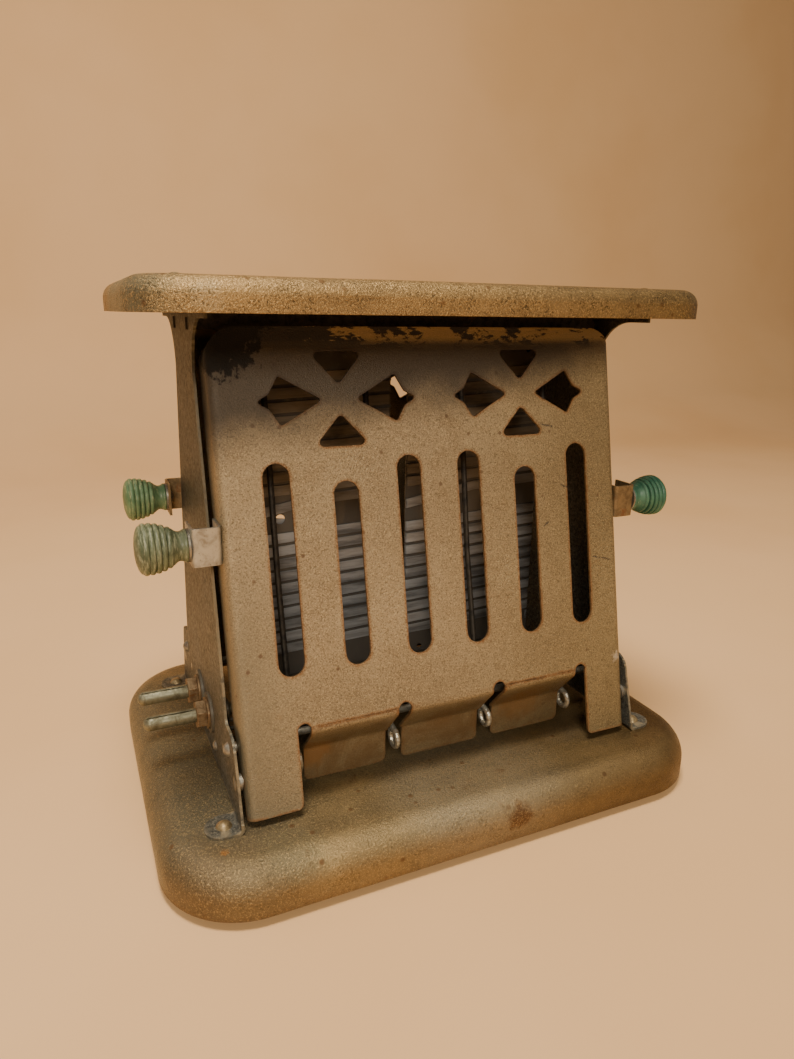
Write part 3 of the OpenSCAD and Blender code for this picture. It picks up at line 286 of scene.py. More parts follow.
def freckles(tree, at, scale, reach, left_out):
    """Small round freckles, scattered; left_out is the share of places that stay without one."""
    cells = put(tree, "TexVoronoi", {"Vector": at, "Scale": scale})
    picked = put(tree, "TexVoronoi", {"Vector": at, "Scale": scale}, out=1)
    picked = step(tree, put(tree, "SeparateColor", {0: picked}), left_out, left_out + 0.04)
    return times(tree, step(tree, cells, reach, 0.10), picked)


def spot(tree, at, centre, reach, ragged=0.009, scale=260.0):
    """A round stain about a point in millimetres, 1 inside and fading out, its rim ragged by metres."""
    shift = put(tree, "VectorMath", {0: at, 1: [-c * MM for c in centre]}, operation="ADD")
    far = put(tree, "VectorMath", {0: shift}, out=1, operation="LENGTH")
    rag = times(tree, minus(tree, cloud(tree, scale, 5.0, 0.65, at), 0.5), ragged)
    return step(tree, plus(tree, far, rag), reach * MM, reach * MM * 0.45)


def enamel(name, light, mid, dark, rust, rust_level, edge_rust, sheen, grain, far_end_shade, spots):
    """Old bronze enamel: cloudy and streaked, with dark grains and bright grains painted as glints; rust in
    freckles, in blooms and along the edges; the right half of the toaster is darkened by painted shade
    where the light falls off."""
    mat, tree, shader = tree_of(name)
    at = place(tree)
    broad = cloud(tree, 22.0, 4.0, 0.6, at)
    patches = cloud(tree, 90.0, 5.0, 0.62, at, 0.4)
    colour = blended(tree, step(tree, broad, 0.36, 0.66), mid, light)
    colour = blended(tree, step(tree, patches, 0.52, 0.78, 0.0, 0.55), colour, dark)
    streaks = cloud(tree, 150.0, 4.0, 0.6, stretched(tree, at, (0.16, 1.0, 1.0)))
    colour = blended(tree, step(tree, streaks, 0.42, 0.68, 0.0, 0.45), colour, dark)
    for centre, reach, tone, share in spots:
        colour = blended(tree, times(tree, spot(tree, at, centre, reach), share), colour, tone)
    fine = cloud(tree, 1600.0, 3.0, 0.78, at)
    dirt = step(tree, cloud(tree, 160.0, 5.0, 0.7, at), 0.36, 0.62, 0.15, 1.0)
    colour = blended(tree, times(tree, step(tree, fine, 0.50, 0.60, 0.0, 0.85 * grain), dirt), colour,
                     tuple(c * 0.30 for c in dark))
    # painted highlight: bright golden grains painted into the colour as glints of light
    glint = cloud(tree, 1900.0, 3.0, 0.74, at)
    colour = blended(tree, step(tree, glint, 0.53, 0.62, 0.0, 0.70 * grain), colour,
                     tuple(min(1.0, c * 1.8) for c in light))
    freckle = freckles(tree, at, 210.0, 0.24, 0.80)
    bloom = step(tree, cloud(tree, 48.0, 6.0, 0.68, at, 0.8), rust_level, rust_level + 0.16)
    worn = carried(tree, "edge")
    ragged = cloud(tree, 420.0, 5.0, 0.7, at)
    rim = step(tree, times(tree, worn, plus(tree, ragged, 0.42)), 0.34, 0.86, 0.0, edge_rust)
    rusted = larger(tree, larger(tree, times(tree, bloom, 0.75), rim), times(tree, freckle, 0.7))
    rust_tone = blended(tree, cloud(tree, 700.0, 4.0, 0.7, at), rust, tuple(c * 0.45 for c in rust))
    colour = blended(tree, rusted, colour, rust_tone)
    # painted shade: the right half of the toaster darkened, where the light falls off
    along = put(tree, "SeparateXYZ", {0: at})
    colour = blended(tree, step(tree, along, -0.03, 0.095, 0.0, 1.0), colour, far_end_shade, "MULTIPLY")
    tree.links.new(colour, shader.inputs["Base Color"])
    shader.inputs["Metallic"].default_value = sheen
    rough = plus(tree, step(tree, patches, 0.3, 0.8, 0.36, 0.52), times(tree, rusted, 0.3))
    tree.links.new(rough, shader.inputs["Roughness"])
    height = plus(tree, minus(tree, glint, fine), times(tree, rusted, 0.45))
    relief(tree, shader, height, 0.8, 0.00026)
    return mat


base = sheet_piece("base_pan", 5 * MM, dents=0.14, edge_reach=2.0)
base.data.materials.append(enamel(
    "base_enamel", light=(0.33, 0.232, 0.105), mid=(0.220, 0.158, 0.074), dark=(0.120, 0.088, 0.045),
    rust=(0.18, 0.080, 0.026), rust_level=0.60, edge_rust=0.35, sheen=0.65, grain=0.6,
    # painted shade: the first tone on this line darkens the right half of the base
    far_end_shade=(0.42, 0.36, 0.27), spots=(
        ((-88.5, -60.0, 12.0), 16.0, (0.15, 0.085, 0.035), 0.7),
        ((-54.5, -68.5, 12.5), 9.0, (0.42, 0.31, 0.14), 0.55),
        ((56.0, -40.0, 17.2), 13.0, (0.27, 0.205, 0.125), 0.55),
        ((45.0, -44.0, 17.2), 8.0, (0.27, 0.205, 0.125), 0.4),
        ((-80.0, -30.0, 17.2), 40.0, (0.105, 0.104, 0.074), 0.80),
        ((-72.0, -66.0, 10.0), 30.0, (0.150, 0.112, 0.062), 0.60),
        # painted light: a paler, greyer patch on the base top in front of the tongues, where the base lies
        # in shade; partly dust
        ((4.0, -54.0, 17.2), 40.0, (0.270, 0.225, 0.150), 0.60),
        ((-60.0, -62.0, 15.0), 12.0, (0.16, 0.135, 0.075), 0.5),
        ((-84.0, 22.0, 17.2), 44.0, (0.115, 0.112, 0.076), 0.8),
        ((88.0, -40.0, 14.0), 24.0, (0.15, 0.085, 0.03), 0.7),
        ((12.5, -70.5, 10.8), 5.2, (0.13, 0.056, 0.018), 0.85),
        ((-78.0, -58.0, 16.4), 1.4, (0.36, 0.15, 0.03), 0.8))))
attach(base, "chassis")

# Closing plate, feet and their rivets under the base: dark unpainted sheet and pressed feet,
# riveted from below, with two tie bolts whose nuts clamp the plate.


def plain_steel(name, tone, dark, rough, metal, rust, rust_tone=(0.22, 0.10, 0.04), scale=500.0):
    """Dull plated or bare steel with stains, dark specks and some rust."""
    mat, tree, shader = tree_of(name)
    at = place(tree)
    stain = cloud(tree, scale, 5.0, 0.65, at, 0.5)
    colour = blended(tree, step(tree, stain, 0.40, 0.70), tone, dark)
    speck = cloud(tree, scale * 5, 3.0, 0.7, at)
    colour = blended(tree, step(tree, speck, 0.58, 0.72, 0.0, 0.6), colour, tuple(c * 0.35 for c in dark))
    eaten = cloud(tree, scale * 0.6, 6.0, 0.7, at, 1.0)
    eaten = step(tree, eaten, 0.72 - 0.45 * rust, 0.86 - 0.45 * rust)
    colour = blended(tree, eaten, colour, rust_tone)
    tree.links.new(colour, shader.inputs["Base Color"])
    shader.inputs["Metallic"].default_value = metal
    dull = step(tree, stain, 0.3, 0.7, rough - 0.08, rough + 0.12)
    tree.links.new(plus(tree, dull, times(tree, eaten, 0.3)), shader.inputs["Roughness"])
    relief(tree, shader, plus(tree, speck, eaten), 0.3, 0.00006)
    return mat


def finish_node(names, mat):
    """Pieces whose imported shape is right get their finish."""
    for n in names:
        nodes[n].data.materials.clear()
        nodes[n].data.materials.append(mat)


dark_sheet = plain_steel("dark_sheet", (0.20, 0.18, 0.145), (0.11, 0.095, 0.075), 0.5, 0.6, 0.35)
bare_steel = plain_steel("bare_steel", (0.33, 0.31, 0.26), (0.19, 0.17, 0.14), 0.45, 0.8, 0.3)
finish_node(("bottom_plate",), dark_sheet)
finish_node(("foot_rivets", "tie_bolts", "tie_nuts"), bare_steel)
mat, tree, shader = tree_of("foot_stuff")
at = place(tree)
black = blended(tree, cloud(tree, 900.0, 4.0, 0.7, at), (0.05, 0.045, 0.04), (0.015, 0.013, 0.012))
tree.links.new(black, shader.inputs["Base Color"])
shader.inputs["Roughness"].default_value = 0.75
relief(tree, shader, cloud(tree, 1600.0), 0.4, 0.0001)
finish_node(("base_feet",), mat)

# End frames: waisted uprights cut from sheet, their feet bent out and riveted to the base. The
# enamel is grey-brown, pitted dark all over, and rubbed bright along the cut edges.


def above_table(tree, at):
    """The height above the table, in metres."""
    return put(tree, "SeparateXYZ", {0: at}, out=2)


def mottled(name, light, dark):
    """Grey-brown enamel, mottled with dark pits, darkened towards the top by painted shade, its edges
    rubbed bare.
    """
    mat, tree, shader = tree_of(name)
    at = place(tree)
    runs = cloud(tree, 760.0, 5.0, 0.74, at, 0.2)
    spread = cloud(tree, 45.0, 4.0, 0.6, at)
    colour = blended(tree, step(tree, spread, 0.36, 0.66), light, (0.100, 0.085, 0.056))
    colour = blended(tree, step(tree, runs, 0.47, 0.60, 0.0, 0.85), colour, dark)
    fine = cloud(tree, 1500.0, 3.0, 0.72, at)
    colour = blended(tree, step(tree, fine, 0.52, 0.64, 0.0, 0.7), colour, tuple(c * 0.35 for c in dark))
    bare = cloud(tree, 1000.0, 4.0, 0.72, at)
    colour = blended(tree, step(tree, bare, 0.54, 0.62, 0.0, 0.60), colour, (0.26, 0.235, 0.175))
    worn = carried(tree, "edge")
    rim = times(tree, worn, plus(tree, cloud(tree, 380.0, 4.0, 0.7, at), 0.5))
    colour = blended(tree, step(tree, rim, 0.55, 0.95, 0.0, 0.7), colour, (0.38, 0.30, 0.18))
    # painted shade: the frame's colour darkened towards the top
    high = above_table(tree, at)
    colour = blended(tree, step(tree, high, 0.045, 0.120), colour, (0.50, 0.50, 0.50), "MULTIPLY")
    tree.links.new(colour, shader.inputs["Base Color"])
    shader.inputs["Metallic"].default_value = 0.4
    tree.links.new(step(tree, runs, 0.3, 0.7, 0.42, 0.62), shader.inputs["Roughness"])
    relief(tree, shader, minus(tree, bare, runs), 0.55, 0.00022)
    return mat


frame_finish = mottled("frame_enamel", (0.102, 0.103, 0.088), (0.034, 0.033, 0.028))
for side in ("left", "right"):
    upright_piece = sheet_piece(side + "_end_frame", 4 * MM, dents=0.10, edge_reach=1.0)
    upright_piece.data.materials.append(frame_finish)
    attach(upright_piece, "chassis")

# Rivets, studs and hinge pins: small domed heads of bare steel; the ones that hold the end frames
# to the base still carry some of its brown enamel.
rivet_finish = plain_steel("rivet_heads", (0.34, 0.25, 0.13), (0.17, 0.12, 0.06), 0.42, 0.7, 0.3)
finish_node(("frame_rivets",), rivet_finish)
finish_node(("stop_studs", "insulator_rivets", "front_hinge_pins", "rear_hinge_pins"), bare_steel)

# Top plate: a shallow tray pressed from sheet and turned upside down, grainy golden enamel,
# greener at the left end, riveted to the heads of the end frames.
plate = sheet_piece("top_plate", 5 * MM, dents=0.16, edge_reach=1.6)
plate.data.materials.append(enamel(
    "plate_enamel", light=(0.34, 0.218, 0.088), mid=(0.240, 0.155, 0.066), dark=(0.125, 0.080, 0.034),
    rust=(0.17, 0.075, 0.025), rust_level=0.66, edge_rust=0.12, sheen=0.72, grain=1.0,
    # painted shade: the first tone on this line darkens the right half of the top plate
    far_end_shade=(0.74, 0.72, 0.62), spots=(
        ((-97.0, -18.0, 165.0), 42.0, (0.155, 0.165, 0.110), 0.85),
        ((-72.0, -50.5, 166.0), 5.0, (0.42, 0.33, 0.19), 0.3))))
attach(plate, "chassis")
finish_node(("plate_rivets",), plate.data.materials[0])

# Element: two mica cards with notched edges stand in two rails, and stiff leads run to them from
# the terminal pins, which mica plates, bushes and washers keep off the end frame.
mat, tree, shader = tree_of("smoky_mica")
at = place(tree)
flakes = put(tree, "TexVoronoi", {"Vector": at, "Scale": 120.0})
tone = blended(tree, cloud(tree, 60.0, 5.0, 0.65, at, 1.2), (0.19, 0.155, 0.12), (0.07, 0.058, 0.048))
clear = step(tree, cloud(tree, 300.0, 4.0, 0.7, at), 0.52, 0.70, 0.0, 0.6)
tone = blended(tree, clear, tone, (0.26, 0.21, 0.15))
tone = blended(tree, step(tree, flakes, 0.2, 0.7, 0.0, 0.45), tone, (0.035, 0.03, 0.027))
# painted light: the cards paler from 125 mm down, low in the slots where they lie in shade
low = step(tree, above_table(tree, at), 0.125, 0.095, 0.0, 0.85)
tree.links.new(blended(tree, low, tone, (0.12, 0.11, 0.098)), shader.inputs["Base Color"])
shader.inputs["Roughness"].default_value = 0.38
shader.inputs["Coat Weight"].default_value = 0.3
relief(tree, shader, cloud(tree, 220.0, 6.0, 0.7, at), 0.35, 0.0002)
finish_node(("left_card", "right_card", "inner_mica_plate", "mica_bushes"), mat)
mat, tree, shader = tree_of("pale_mica")
at = place(tree)
pale = blended(tree, cloud(tree, 420.0, 5.0, 0.7, at), (0.15, 0.13, 0.095), (0.07, 0.06, 0.045))
tree.links.new(pale, shader.inputs["Base Color"])
shader.inputs["Roughness"].default_value = 0.35
finish_node(("mica_washers",), mat)
# painted shade: the upper rail is near black, standing in for the shade under the top plate
shade_black_sheet = plain_steel("shade_black_sheet", (0.055, 0.048, 0.042), (0.022, 0.020, 0.018), 0.6, 0.5, 0.2)
finish_node(("upper_rail",), shade_black_sheet)
finish_node(("lower_rail",), dark_sheet)
finish_node(("ribbon_rivets", "ribbon_bridge", "front_lead", "rear_lead", "inner_nuts"), bare_steel)

# Ribbons: a flat heating ribbon wound closely on each card, silvery low down and browned by heat
# above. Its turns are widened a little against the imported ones, and they sway and lift off slightly.
RIBBON_WIDER = 0.28    # this and the next two in millimetres
RIBBON_SWAY = 0.16
RIBBON_LIFT = 0.10


def finished(name, bm, body, mat, node, crease):
    """A mesh made into a piece: doubles merged, faces turned outwards, riding on its body."""
    bmesh.ops.remove_doubles(bm, verts=bm.verts, dist=1e-6)
    bmesh.ops.recalc_face_normals(bm, faces=bm.faces)
    shade(bm, crease)
    piece = made_of(bm, name)
    piece.data.materials.append(mat)
    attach(piece, body)
    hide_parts(node)
    return piece


mat, tree, shader = tree_of("heating_ribbon")
at = place(tree)
drawn = stretched(tree, at, (0.12, 1.0, 1.0))
high = above_table(tree, at)
silvery_tone = blended(tree, step(tree, cloud(tree, 260.0, 5.0, 0.65, drawn), 0.35, 0.7),
                       (0.60, 0.62, 0.65), (0.19, 0.195, 0.205))
browned_tone = blended(tree, step(tree, cloud(tree, 180.0, 5.0, 0.7, drawn), 0.35, 0.7),
                       (0.30, 0.24, 0.17), (0.10, 0.08, 0.06))
share = step(tree, plus(tree, high, times(tree, cloud(tree, 30.0, 3.0, 0.5, at), 0.04)), 0.105, 0.135)
tree.links.new(blended(tree, share, silvery_tone, browned_tone), shader.inputs["Base Color"])
shader.inputs["Metallic"].default_value = 0.45
dull = step(tree, cloud(tree, 400.0, 4.0, 0.7, drawn), 0.3, 0.7, 0.34, 0.55)
tree.links.new(dull, shader.inputs["Roughness"])
relief(tree, shader, cloud(tree, 700.0, 4.0, 0.6, drawn), 0.35, 0.0001)
for side in ("left", "right"):
    bm = merged(side + "_ribbon", flat=0.2)
    long_edges = [e for e in bm.edges if e.calc_length() > 8 * MM]
    bmesh.ops.subdivide_edges(bm, edges=long_edges, cuts=5, use_grid_fill=True)
    bmesh.ops.triangulate(bm, faces=[f for f in bm.faces if len(f.verts) > 4])
    bm.normal_update()
    for v in bm.verts:
        v.co.z += math.copysign(RIBBON_WIDER * MM, v.normal.z) if abs(v.normal.z) > 0.2 else 0.0
        sway = noise.noise(Vector((v.co.x * 45.0, 0, v.co.z * 300.0))) * RIBBON_SWAY
        lift = noise.noise(Vector((v.co.x * 110.0, 7.0, v.co.z * 210.0))) * RIBBON_LIFT
        v.co.z += sway * MM
        v.co.y += math.copysign(max(0.0, lift), v.co.y) * MM
    wound = finished(side + "_ribbon_wound", bm, "chassis", mat, side + "_ribbon", 40)
    roll_edges(wound, 0.06, 2, 50)

# Guards: plated wires hooked in the upper rail, laid on the guard rods and curled into eyes that
# show between the tongues of the bread rests. The eyes are bright plating; above them the wire is painted
# near black as painted shade.
mat, tree, shader = tree_of("plated_wire")
at = place(tree)
bright = blended(tree, step(tree, cloud(tree, 420.0, 4.0, 0.7, at), 0.4, 0.7),
                 (0.60, 0.57, 0.48), (0.26, 0.23, 0.17))
# painted shade: above the eyes the wire's colour is near black
shade_dark_wire = blended(tree, step(tree, cloud(tree, 300.0, 4.0, 0.7, at), 0.4, 0.7),
                (0.085, 0.07, 0.055), (0.03, 0.027, 0.024))
share = step(tree, above_table(tree, at), 0.034, 0.046)
tree.links.new(blended(tree, share, bright, shade_dark_wire), shader.inputs["Base Color"])
shader.inputs["Metallic"].default_value = 0.75
tree.links.new(step(tree, share, 0.0, 1.0, 0.34, 0.62), shader.inputs["Roughness"])
relief(tree, shader, cloud(tree, 1400.0), 0.3, 0.00006)
finish_node(("front_guard_rod", "rear_guard_rod", "front_guard_wires", "rear_guard_wires"), mat)

# Terminals: hollow nickelled pins with a seam near the top, hexagon nuts gone rusty and steel
# washers, screwed to the left end frame.


def soft_copy(node, body, mat, roll, angle):
    """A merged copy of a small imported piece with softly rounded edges."""
    bm = merged(node)
    shade(bm)
    piece = made_of(bm, node + "_dressed")
    roll_edges(piece, roll, 3, angle)
    piece.data.materials.append(mat)
    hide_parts(node)
    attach(piece, body)
    return piece


nickel = plain_steel("tarnished_nickel", (0.27, 0.26, 0.18), (0.14, 0.125, 0.075), 0.48, 0.8, 0.15,
                     scale=320.0)
rusty_steel = plain_steel("rusty_steel", (0.27, 0.185, 0.10), (0.13, 0.075, 0.035), 0.5, 0.6, 0.45,
                          (0.20, 0.085, 0.03))
for pin in ("front_terminal_pin", "rear_terminal_pin"):
    soft_copy(pin, "chassis", nickel, 0.10, 40)
soft_copy("terminal_nuts", "chassis", rusty_steel, 0.18, 30)
soft_copy("terminal_washers", "chassis", rusty_steel, 0.18, 30)

# Doors: pressed and pierced sheet in khaki enamel with a fine dark grain and bright grains painted as
# glints. Rust rings every hole, soot blackens the upper left corner and the top edge, where the enamel
# flakes off in gold; the haze over the upper part is partly painted shade under the top plate, and
# painted shade also darkens the right end and the bread rests.
GOLD_TOP = (0.1560, 0.1605)     # heights in metres between which each layer fades in
FLAKED = (0.1510, 0.1550)
SOOT_AND_SHADE = (0.135, 0.155)
SOOT_AND_SHADE_ENDS = (0.1560, 0.1532)
REST_TOP = (0.0415, 0.0365)
REST_ENDS = (0.0500, 0.0490)    # distances from the middle where the bread rest ends
REST_STAINS = (((-46.0, -38.0, 30.0), 8.0, (0.22, 0.110, 0.035), 0.7),
               ((32.0, -38.0, 33.0), 12.0, (0.20, 0.105, 0.036), 0.6),
               ((0.0, -38.0, 34.0), 8.0, (0.16, 0.085, 0.033), 0.5))
CHIP = ((66.0, -46.0, 45.0), 2.0, (0.55, 0.48, 0.38), 0.7)
SCRATCH_EDGE = (0.00042, 0.00012)
SCRATCHES = ((45.5, 107.5, 50.0, 106.0), (57.5, 82.0, 66.0, 80.0), (36.5, 93.5, 40.5, 95.5),
             (-10.0, 121.0, -7.0, 112.0), (38.0, 128.0, 44.0, 127.0))


def unsigned(tree, a):
    return put(tree, "Math", {0: a}, operation="ABSOLUTE")


def door_enamel(name, front):
    """A door's enamel, worked out from the front door's left; the rear door is turned half round."""
    mat, tree, shader = tree_of(name)
    at = place(tree)
    sign = 1.0 if front else -1.0
    parts = put(tree, "SeparateXYZ", {0: at}).node.outputs
    x = times(tree, parts[0], sign)
    z = parts[2]
    broad = cloud(tree, 26.0, 5.0, 0.6, at)
    patches = cloud(tree, 110.0, 5.0, 0.65, at, 0.5)
    colour = blended(tree, step(tree, broad, 0.36, 0.66), (0.325, 0.250, 0.150), (0.390, 0.308, 0.190))
    colour = blended(tree, step(tree, patches, 0.52, 0.74, 0.0, 0.45), colour, (0.215, 0.148, 0.075))
    fine = cloud(tree, 1900.0, 3.0, 0.78, at)
    colour = blended(tree, step(tree, fine, 0.50, 0.60, 0.0, 0.62), colour, (0.100, 0.072, 0.038))
    clumps = cloud(tree, 620.0, 4.0, 0.7, at)
    colour = blended(tree, step(tree, clumps, 0.52, 0.68, 0.0, 0.20), colour, (0.120, 0.080, 0.036))
    # painted highlight: bright golden grains painted into the colour as glints of light
    glint = cloud(tree, 2200.0, 3.0, 0.74, at)
    colour = blended(tree, step(tree, glint, 0.53, 0.62, 0.0, 0.65), colour, (0.62, 0.49, 0.29))
    # painted shade: darker towards the right end of the front door, and the matching end of the rear door,
    # where the light falls off; the next line makes it darker towards the bottom
    colour = blended(tree, step(tree, x, -0.010, 0.070), colour, (0.78, 0.76, 0.64), "MULTIPLY")
    colour = blended(tree, step(tree, z, 0.075, 0.030), colour, (0.80, 0.80, 0.78), "MULTIPLY")
    greener = times(tree, step(tree, x, -0.045, -0.072), step(tree, z, 0.110, 0.060))
    colour = blended(tree, times(tree, greener, 0.65), colour, (0.190, 0.165, 0.108))
    freckle = freckles(tree, at, 260.0, 0.22, 0.86)
    colour = blended(tree, times(tree, freckle, 0.75), colour, (0.12, 0.065, 0.035))
    worn = carried(tree, "edge")
    ragged = cloud(tree, 330.0, 5.0, 0.7, at)
    near = times(tree, worn, plus(tree, times(tree, ragged, 1.3), 0.35))
    halo = times(tree, step(tree, near, 0.26, 0.72, 0.0, 0.85), step(tree, fine, 0.38, 0.56, 0.35, 1.0))
    colour = blended(tree, halo, colour, (0.235, 0.105, 0.032))
    core = step(tree, near, 0.66, 0.98, 0.0, 0.85)
    colour = blended(tree, core, colour, (0.085, 0.045, 0.02))
    stain = step(tree, cloud(tree, 70.0, 6.0, 0.7, at, 0.9), 0.64, 0.78, 0.0, 0.5)
    colour = blended(tree, stain, colour, (0.235, 0.120, 0.042))
    # golden underpaint and black flakes along the top edge
    top = step(tree, plus(tree, z, times(tree, cloud(tree, 120.0, 5.0, 0.7, at), 0.010)), *GOLD_TOP)
    colour = blended(tree, times(tree, top, 0.85), colour, (0.31, 0.215, 0.095))
    lengthwise = stretched(tree, at, (0.45, 1.0, 1.0))
    drift = times(tree, minus(tree, cloud(tree, 24.0, 2.0, 0.5, at), 0.5), 0.9)
    flake = step(tree, plus(tree, cloud(tree, 190.0, 6.0, 0.72, lengthwise, 0.3), drift), 0.495, 0.535)
    flake = times(tree, flake, step(tree, z, *FLAKED))
    colour = blended(tree, times(tree, flake, 0.96), colour, (0.018, 0.017, 0.018))
    # soot and painted shade: a dark haze over the upper part, partly the shade under the top plate, black
    # with soot in the corner
    rise = plus(tree, z, times(tree, cloud(tree, 36.0, 4.0, 0.6, at), 0.018))
    rise = minus(tree, rise, times(tree, x, 0.17))
    haze = step(tree, rise, *SOOT_AND_SHADE, 0.0, 0.92)
    haze = times(tree, haze, step(tree, z, *SOOT_AND_SHADE_ENDS, 0.10, 1.0))
    colour = blended(tree, haze, colour, (0.040, 0.033, 0.026))
    corner = spot(tree, at, (-67.0 * sign, -24.0 * sign, 159.0), 17.0, 0.024, 300.0)
    corner = step(tree, corner, 0.15, 0.45)
    colour = blended(tree, corner, colour, (0.010, 0.009, 0.008))
    # the bread rest below is darkened browner by painted shade and fouled with rust
    rests = times(tree, step(tree, z, *REST_TOP), step(tree, unsigned(tree, x), *REST_ENDS))
    foul = step(tree, cloud(tree, 55.0, 5.0, 0.7, at, 0.6), 0.38, 0.66)
    # painted shade: the bread rest's tongues darkened
    colour = blended(tree, times(tree, rests, 0.55), colour, (0.150, 0.112, 0.058))
    colour = blended(tree, times(tree, rests, times(tree, foul, 0.65)), colour, (0.125, 0.066, 0.022))
    for centre, reach, tone, share in (*REST_STAINS, CHIP):
        centre = (centre[0] * sign, centre[1] * sign, centre[2])
        colour = blended(tree, times(tree, spot(tree, at, centre, reach), share), colour, tone)
    if front:
        for x0, z0, x1, z1 in SCRATCHES:
            along = Vector((x1 - x0, 0, z1 - z0))
            half = along.length / 2 * MM
            turn = math.atan2(along.z, along.x)
            back = (-(x0 + x1) / 2 * MM, 0, -(z0 + z1) / 2 * MM)
            here = put(tree, "VectorMath", {0: at, 1: back}, operation="ADD")
            here = put(tree, "Mapping", {"Vector": here, "Rotation": (0, turn, 0)})
            across = put(tree, "SeparateXYZ", {0: here}).node.outputs
            wob = times(tree, minus(tree, cloud(tree, 500.0, 4.0, 0.7, at), 0.5), 0.0016)
            thin = step(tree, unsigned(tree, plus(tree, across[2], wob)), *SCRATCH_EDGE)
            ends = step(tree, unsigned(tree, across[0]), half, half * 0.8)
            broken = step(tree, cloud(tree, 900.0, 3.0, 0.7, at), 0.42, 0.55)
            mark = times(tree, times(tree, thin, ends), times(tree, broken, 0.85))
            colour = blended(tree, mark, colour, (0.055, 0.045, 0.04))
    tree.links.new(colour, shader.inputs["Base Color"])
    shader.inputs["Metallic"].default_value = 0.50
    crust = times(tree, larger(tree, halo, corner), 0.25)
    tree.links.new(plus(tree, step(tree, patches, 0.3, 0.8, 0.38, 0.50), crust), shader.inputs["Roughness"])
    height = plus(tree, minus(tree, glint, fine), times(tree, halo, 0.5))
    height = minus(tree, height, times(tree, flake, 0.8))
    relief(tree, shader, height, 0.75, 0.00024)
    return mat


for body in ("front_door", "rear_door"):
    leaf = sheet_piece(body, 2.4 * MM, dents=0.10, edge_reach=0.9, rim=0.9)
    leaf.data.materials.append(door_enamel(body + "_enamel", body == "front_door"))
    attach(leaf, body)

# Knob brackets: straps of plated steel, bent and riveted to the doors' sides. The front left one
# is still silvery, the others have gone brown.
silvery = plain_steel("silvery_plate", (0.50, 0.50, 0.46), (0.30, 0.27, 0.22), 0.40, 0.75, 0.16,
                      (0.20, 0.10, 0.05), 260.0)
browned = plain_steel("browned_plate", (0.25, 0.18, 0.095), (0.13, 0.09, 0.045), 0.45, 0.6, 0.4,
                      scale=300.0)
for bracket, stuff in (("front_left_bracket", silvery), ("front_right_bracket", browned),
                       ("rear_left_bracket", browned), ("rear_right_bracket", browned)):
    soft_copy(bracket, bracket.split("_")[0] + "_door", stuff, 0.16, 40)
for end in ("front", "rear"):
    finish_node((end + "_bracket_rivets", end + "_knob_washers", end + "_knob_screws"), bare_steel)

# Knobs: turned wood, painted green and worn. Five rounded rings, a domed end, a waisted neck that
# flares to its foot. The paint has gone grey on the front left one and is freshest on the front right.
KNOB_LONG = 14.1 * MM
KNOB_WIDE = 14.7 * MM
NECK = 0.322          # the foot's radius and the depth of the waist above it, as shares of the width
WAIST = 0.062
KNOB_RINGS = 5
RING_GROOVE = 0.62 * MM
RINGS_FROM, RINGS_TO = 0.30, 0.86    # where the rings begin and end, as shares of the knob's length


def green_paint(name, light, deep, chalk, chalky, streak=None):
    """Old gloss paint, darkened in the hollows by painted shade, rubbed chalky on the rings and chipped to
    the wood.
    """
    mat, tree, shader = tree_of(name)
    at = place(tree)
    ringed = stretched(tree, at, (3.0, 0.5, 0.5))
    colour = blended(tree, step(tree, cloud(tree, 130.0, 5.0, 0.65, at, 0.4), 0.35, 0.68), light, deep)
    # painted shade: the paint darkened by the depth of the hollow each point lies in
    hollow = carried(tree, "hollow")
    colour = blended(tree, times(tree, hollow, 0.62), colour, tuple(c * 0.32 for c in deep))
    rub = cloud(tree, 620.0, 5.0, 0.72, ringed)
    rub = step(tree, rub, 0.60 - 0.25 * chalky, 0.80 - 0.2 * chalky, 0.0, 0.85)
    colour = blended(tree, rub, colour, chalk)
    chips = step(tree, cloud(tree, 950.0, 5.0, 0.75, at, 0.6), 0.66, 0.72, 0.0, 0.8)
    colour = blended(tree, chips, colour, (0.16, 0.11, 0.06))
    if streak:
        colour = blended(tree, times(tree, spot(tree, at, streak, 2.6, 0.012, 500.0), 0.9), colour,
                         (0.62, 0.60, 0.42))
    tree.links.new(colour, shader.inputs["Base Color"])
    tree.links.new(step(tree, cloud(tree, 500.0), 0.3, 0.7, 0.36, 0.60), shader.inputs["Roughness"])
    shader.inputs["Specular IOR Level"].default_value = 0.45
    relief(tree, shader, cloud(tree, 1100.0, 5.0, 0.7, ringed), 0.35, 0.00016)
    return mat


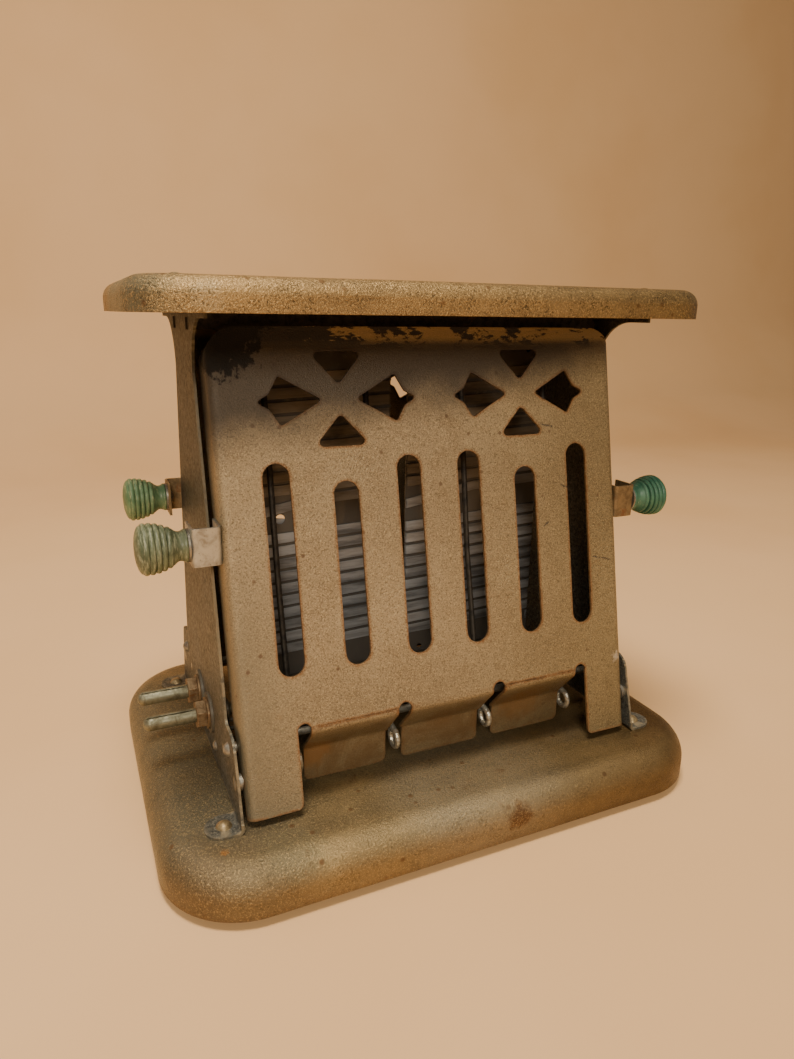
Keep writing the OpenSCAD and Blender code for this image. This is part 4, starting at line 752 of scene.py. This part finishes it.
def knob_line():
    """Half outline of a knob: (radius, height, depth of the hollow it lies in)."""
    line = [(0.0015, 0.0, 0.2), (0.300 * KNOB_WIDE, 0.0, 0.1), (NECK * KNOB_WIDE, 0.018 * KNOB_LONG, 0.0),
            (NECK * KNOB_WIDE, 0.045 * KNOB_LONG, 0.1)]
    for i in range(1, 9):
        a = math.pi * i / 9
        radius = KNOB_WIDE * (NECK - WAIST * math.sin(a) + 0.006 * i)
        line.append((radius, KNOB_LONG * (0.045 + 0.028 * i), 0.35 * math.sin(a)))
    fattest = KNOB_RINGS - 1.25
    for i in range(KNOB_RINGS):
        fat = KNOB_WIDE / 2 * (1.0 - 0.20 * ((fattest - i) / fattest) ** 2)
        for k in range(9):
            a = math.pi * (k + 0.5) / 9
            along = RINGS_FROM + (RINGS_TO - RINGS_FROM) * (i + (1 - math.cos(a)) / 2) / KNOB_RINGS
            dip = 1 - math.sin(a)
            line.append((fat - RING_GROOVE * dip, KNOB_LONG * along, dip ** 1.5))
    last = line[-1][0]
    for k in range(1, 12):
        a = math.pi / 2 * k / 11
        line.append((last * math.cos(a), KNOB_LONG * (RINGS_TO + 0.14 * math.sin(a)), 0.0))
    return line


def turned_knob(name, node, outwards, body, mat, wobble):
    """A knob turned about its screw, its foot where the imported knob's foot is."""
    low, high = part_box(node)
    middle = (low + high) / 2
    foot = Vector((high.x if outwards < 0 else low.x, middle.y, middle.z))
    bm = bmesh.new()
    deep = bm.verts.layers.float.new("hollow")
    line = []
    for far, tall, hollow in knob_line():
        v = bm.verts.new((outwards * tall, 0, far))
        v[deep] = hollow
        line.append(v)
    line[-1].co.z = 0
    edges = [bm.edges.new(pair) for pair in zip(line, line[1:])]
    bmesh.ops.spin(bm, geom=line + edges, cent=(0, 0, 0), axis=(1, 0, 0), angle=math.tau, steps=80,
                   use_merge=True)
    bmesh.ops.remove_doubles(bm, verts=bm.verts, dist=1e-7)
    for v in bm.verts:
        push = noise.noise(v.co * 210.0 + Vector((wobble, 0, 0))) * 0.10 * MM
        off = Vector((0, v.co.y, v.co.z))
        if off.length > 2 * MM:
            v.co += off.normalized() * push
        v.co += foot
    return finished(name, bm, body, mat, node, 60)


knob_paints = {
    "front_left": green_paint("green_faded", (0.145, 0.170, 0.092), (0.065, 0.085, 0.045),
                              (0.33, 0.34, 0.22), 0.6),
    "front_right": green_paint("green_jade", (0.075, 0.205, 0.125), (0.03, 0.115, 0.07),
                               (0.20, 0.33, 0.22), 0.2, (80.5, -37.5, 97.0)),
    "rear_left": green_paint("green_neck_yellowed", (0.145, 0.235, 0.115), (0.07, 0.135, 0.06),
                             (0.42, 0.42, 0.22), 0.35),
    "rear_right": green_paint("green_plain", (0.12, 0.225, 0.125), (0.055, 0.13, 0.07),
                              (0.34, 0.38, 0.24), 0.3),
}
for i, (corner, paint) in enumerate(knob_paints.items()):
    turned_knob(corner + "_turned_knob", corner + "_knob", -1 if "left" in corner else 1,
                corner.split("_")[0] + "_door", paint, 3.7 * i)
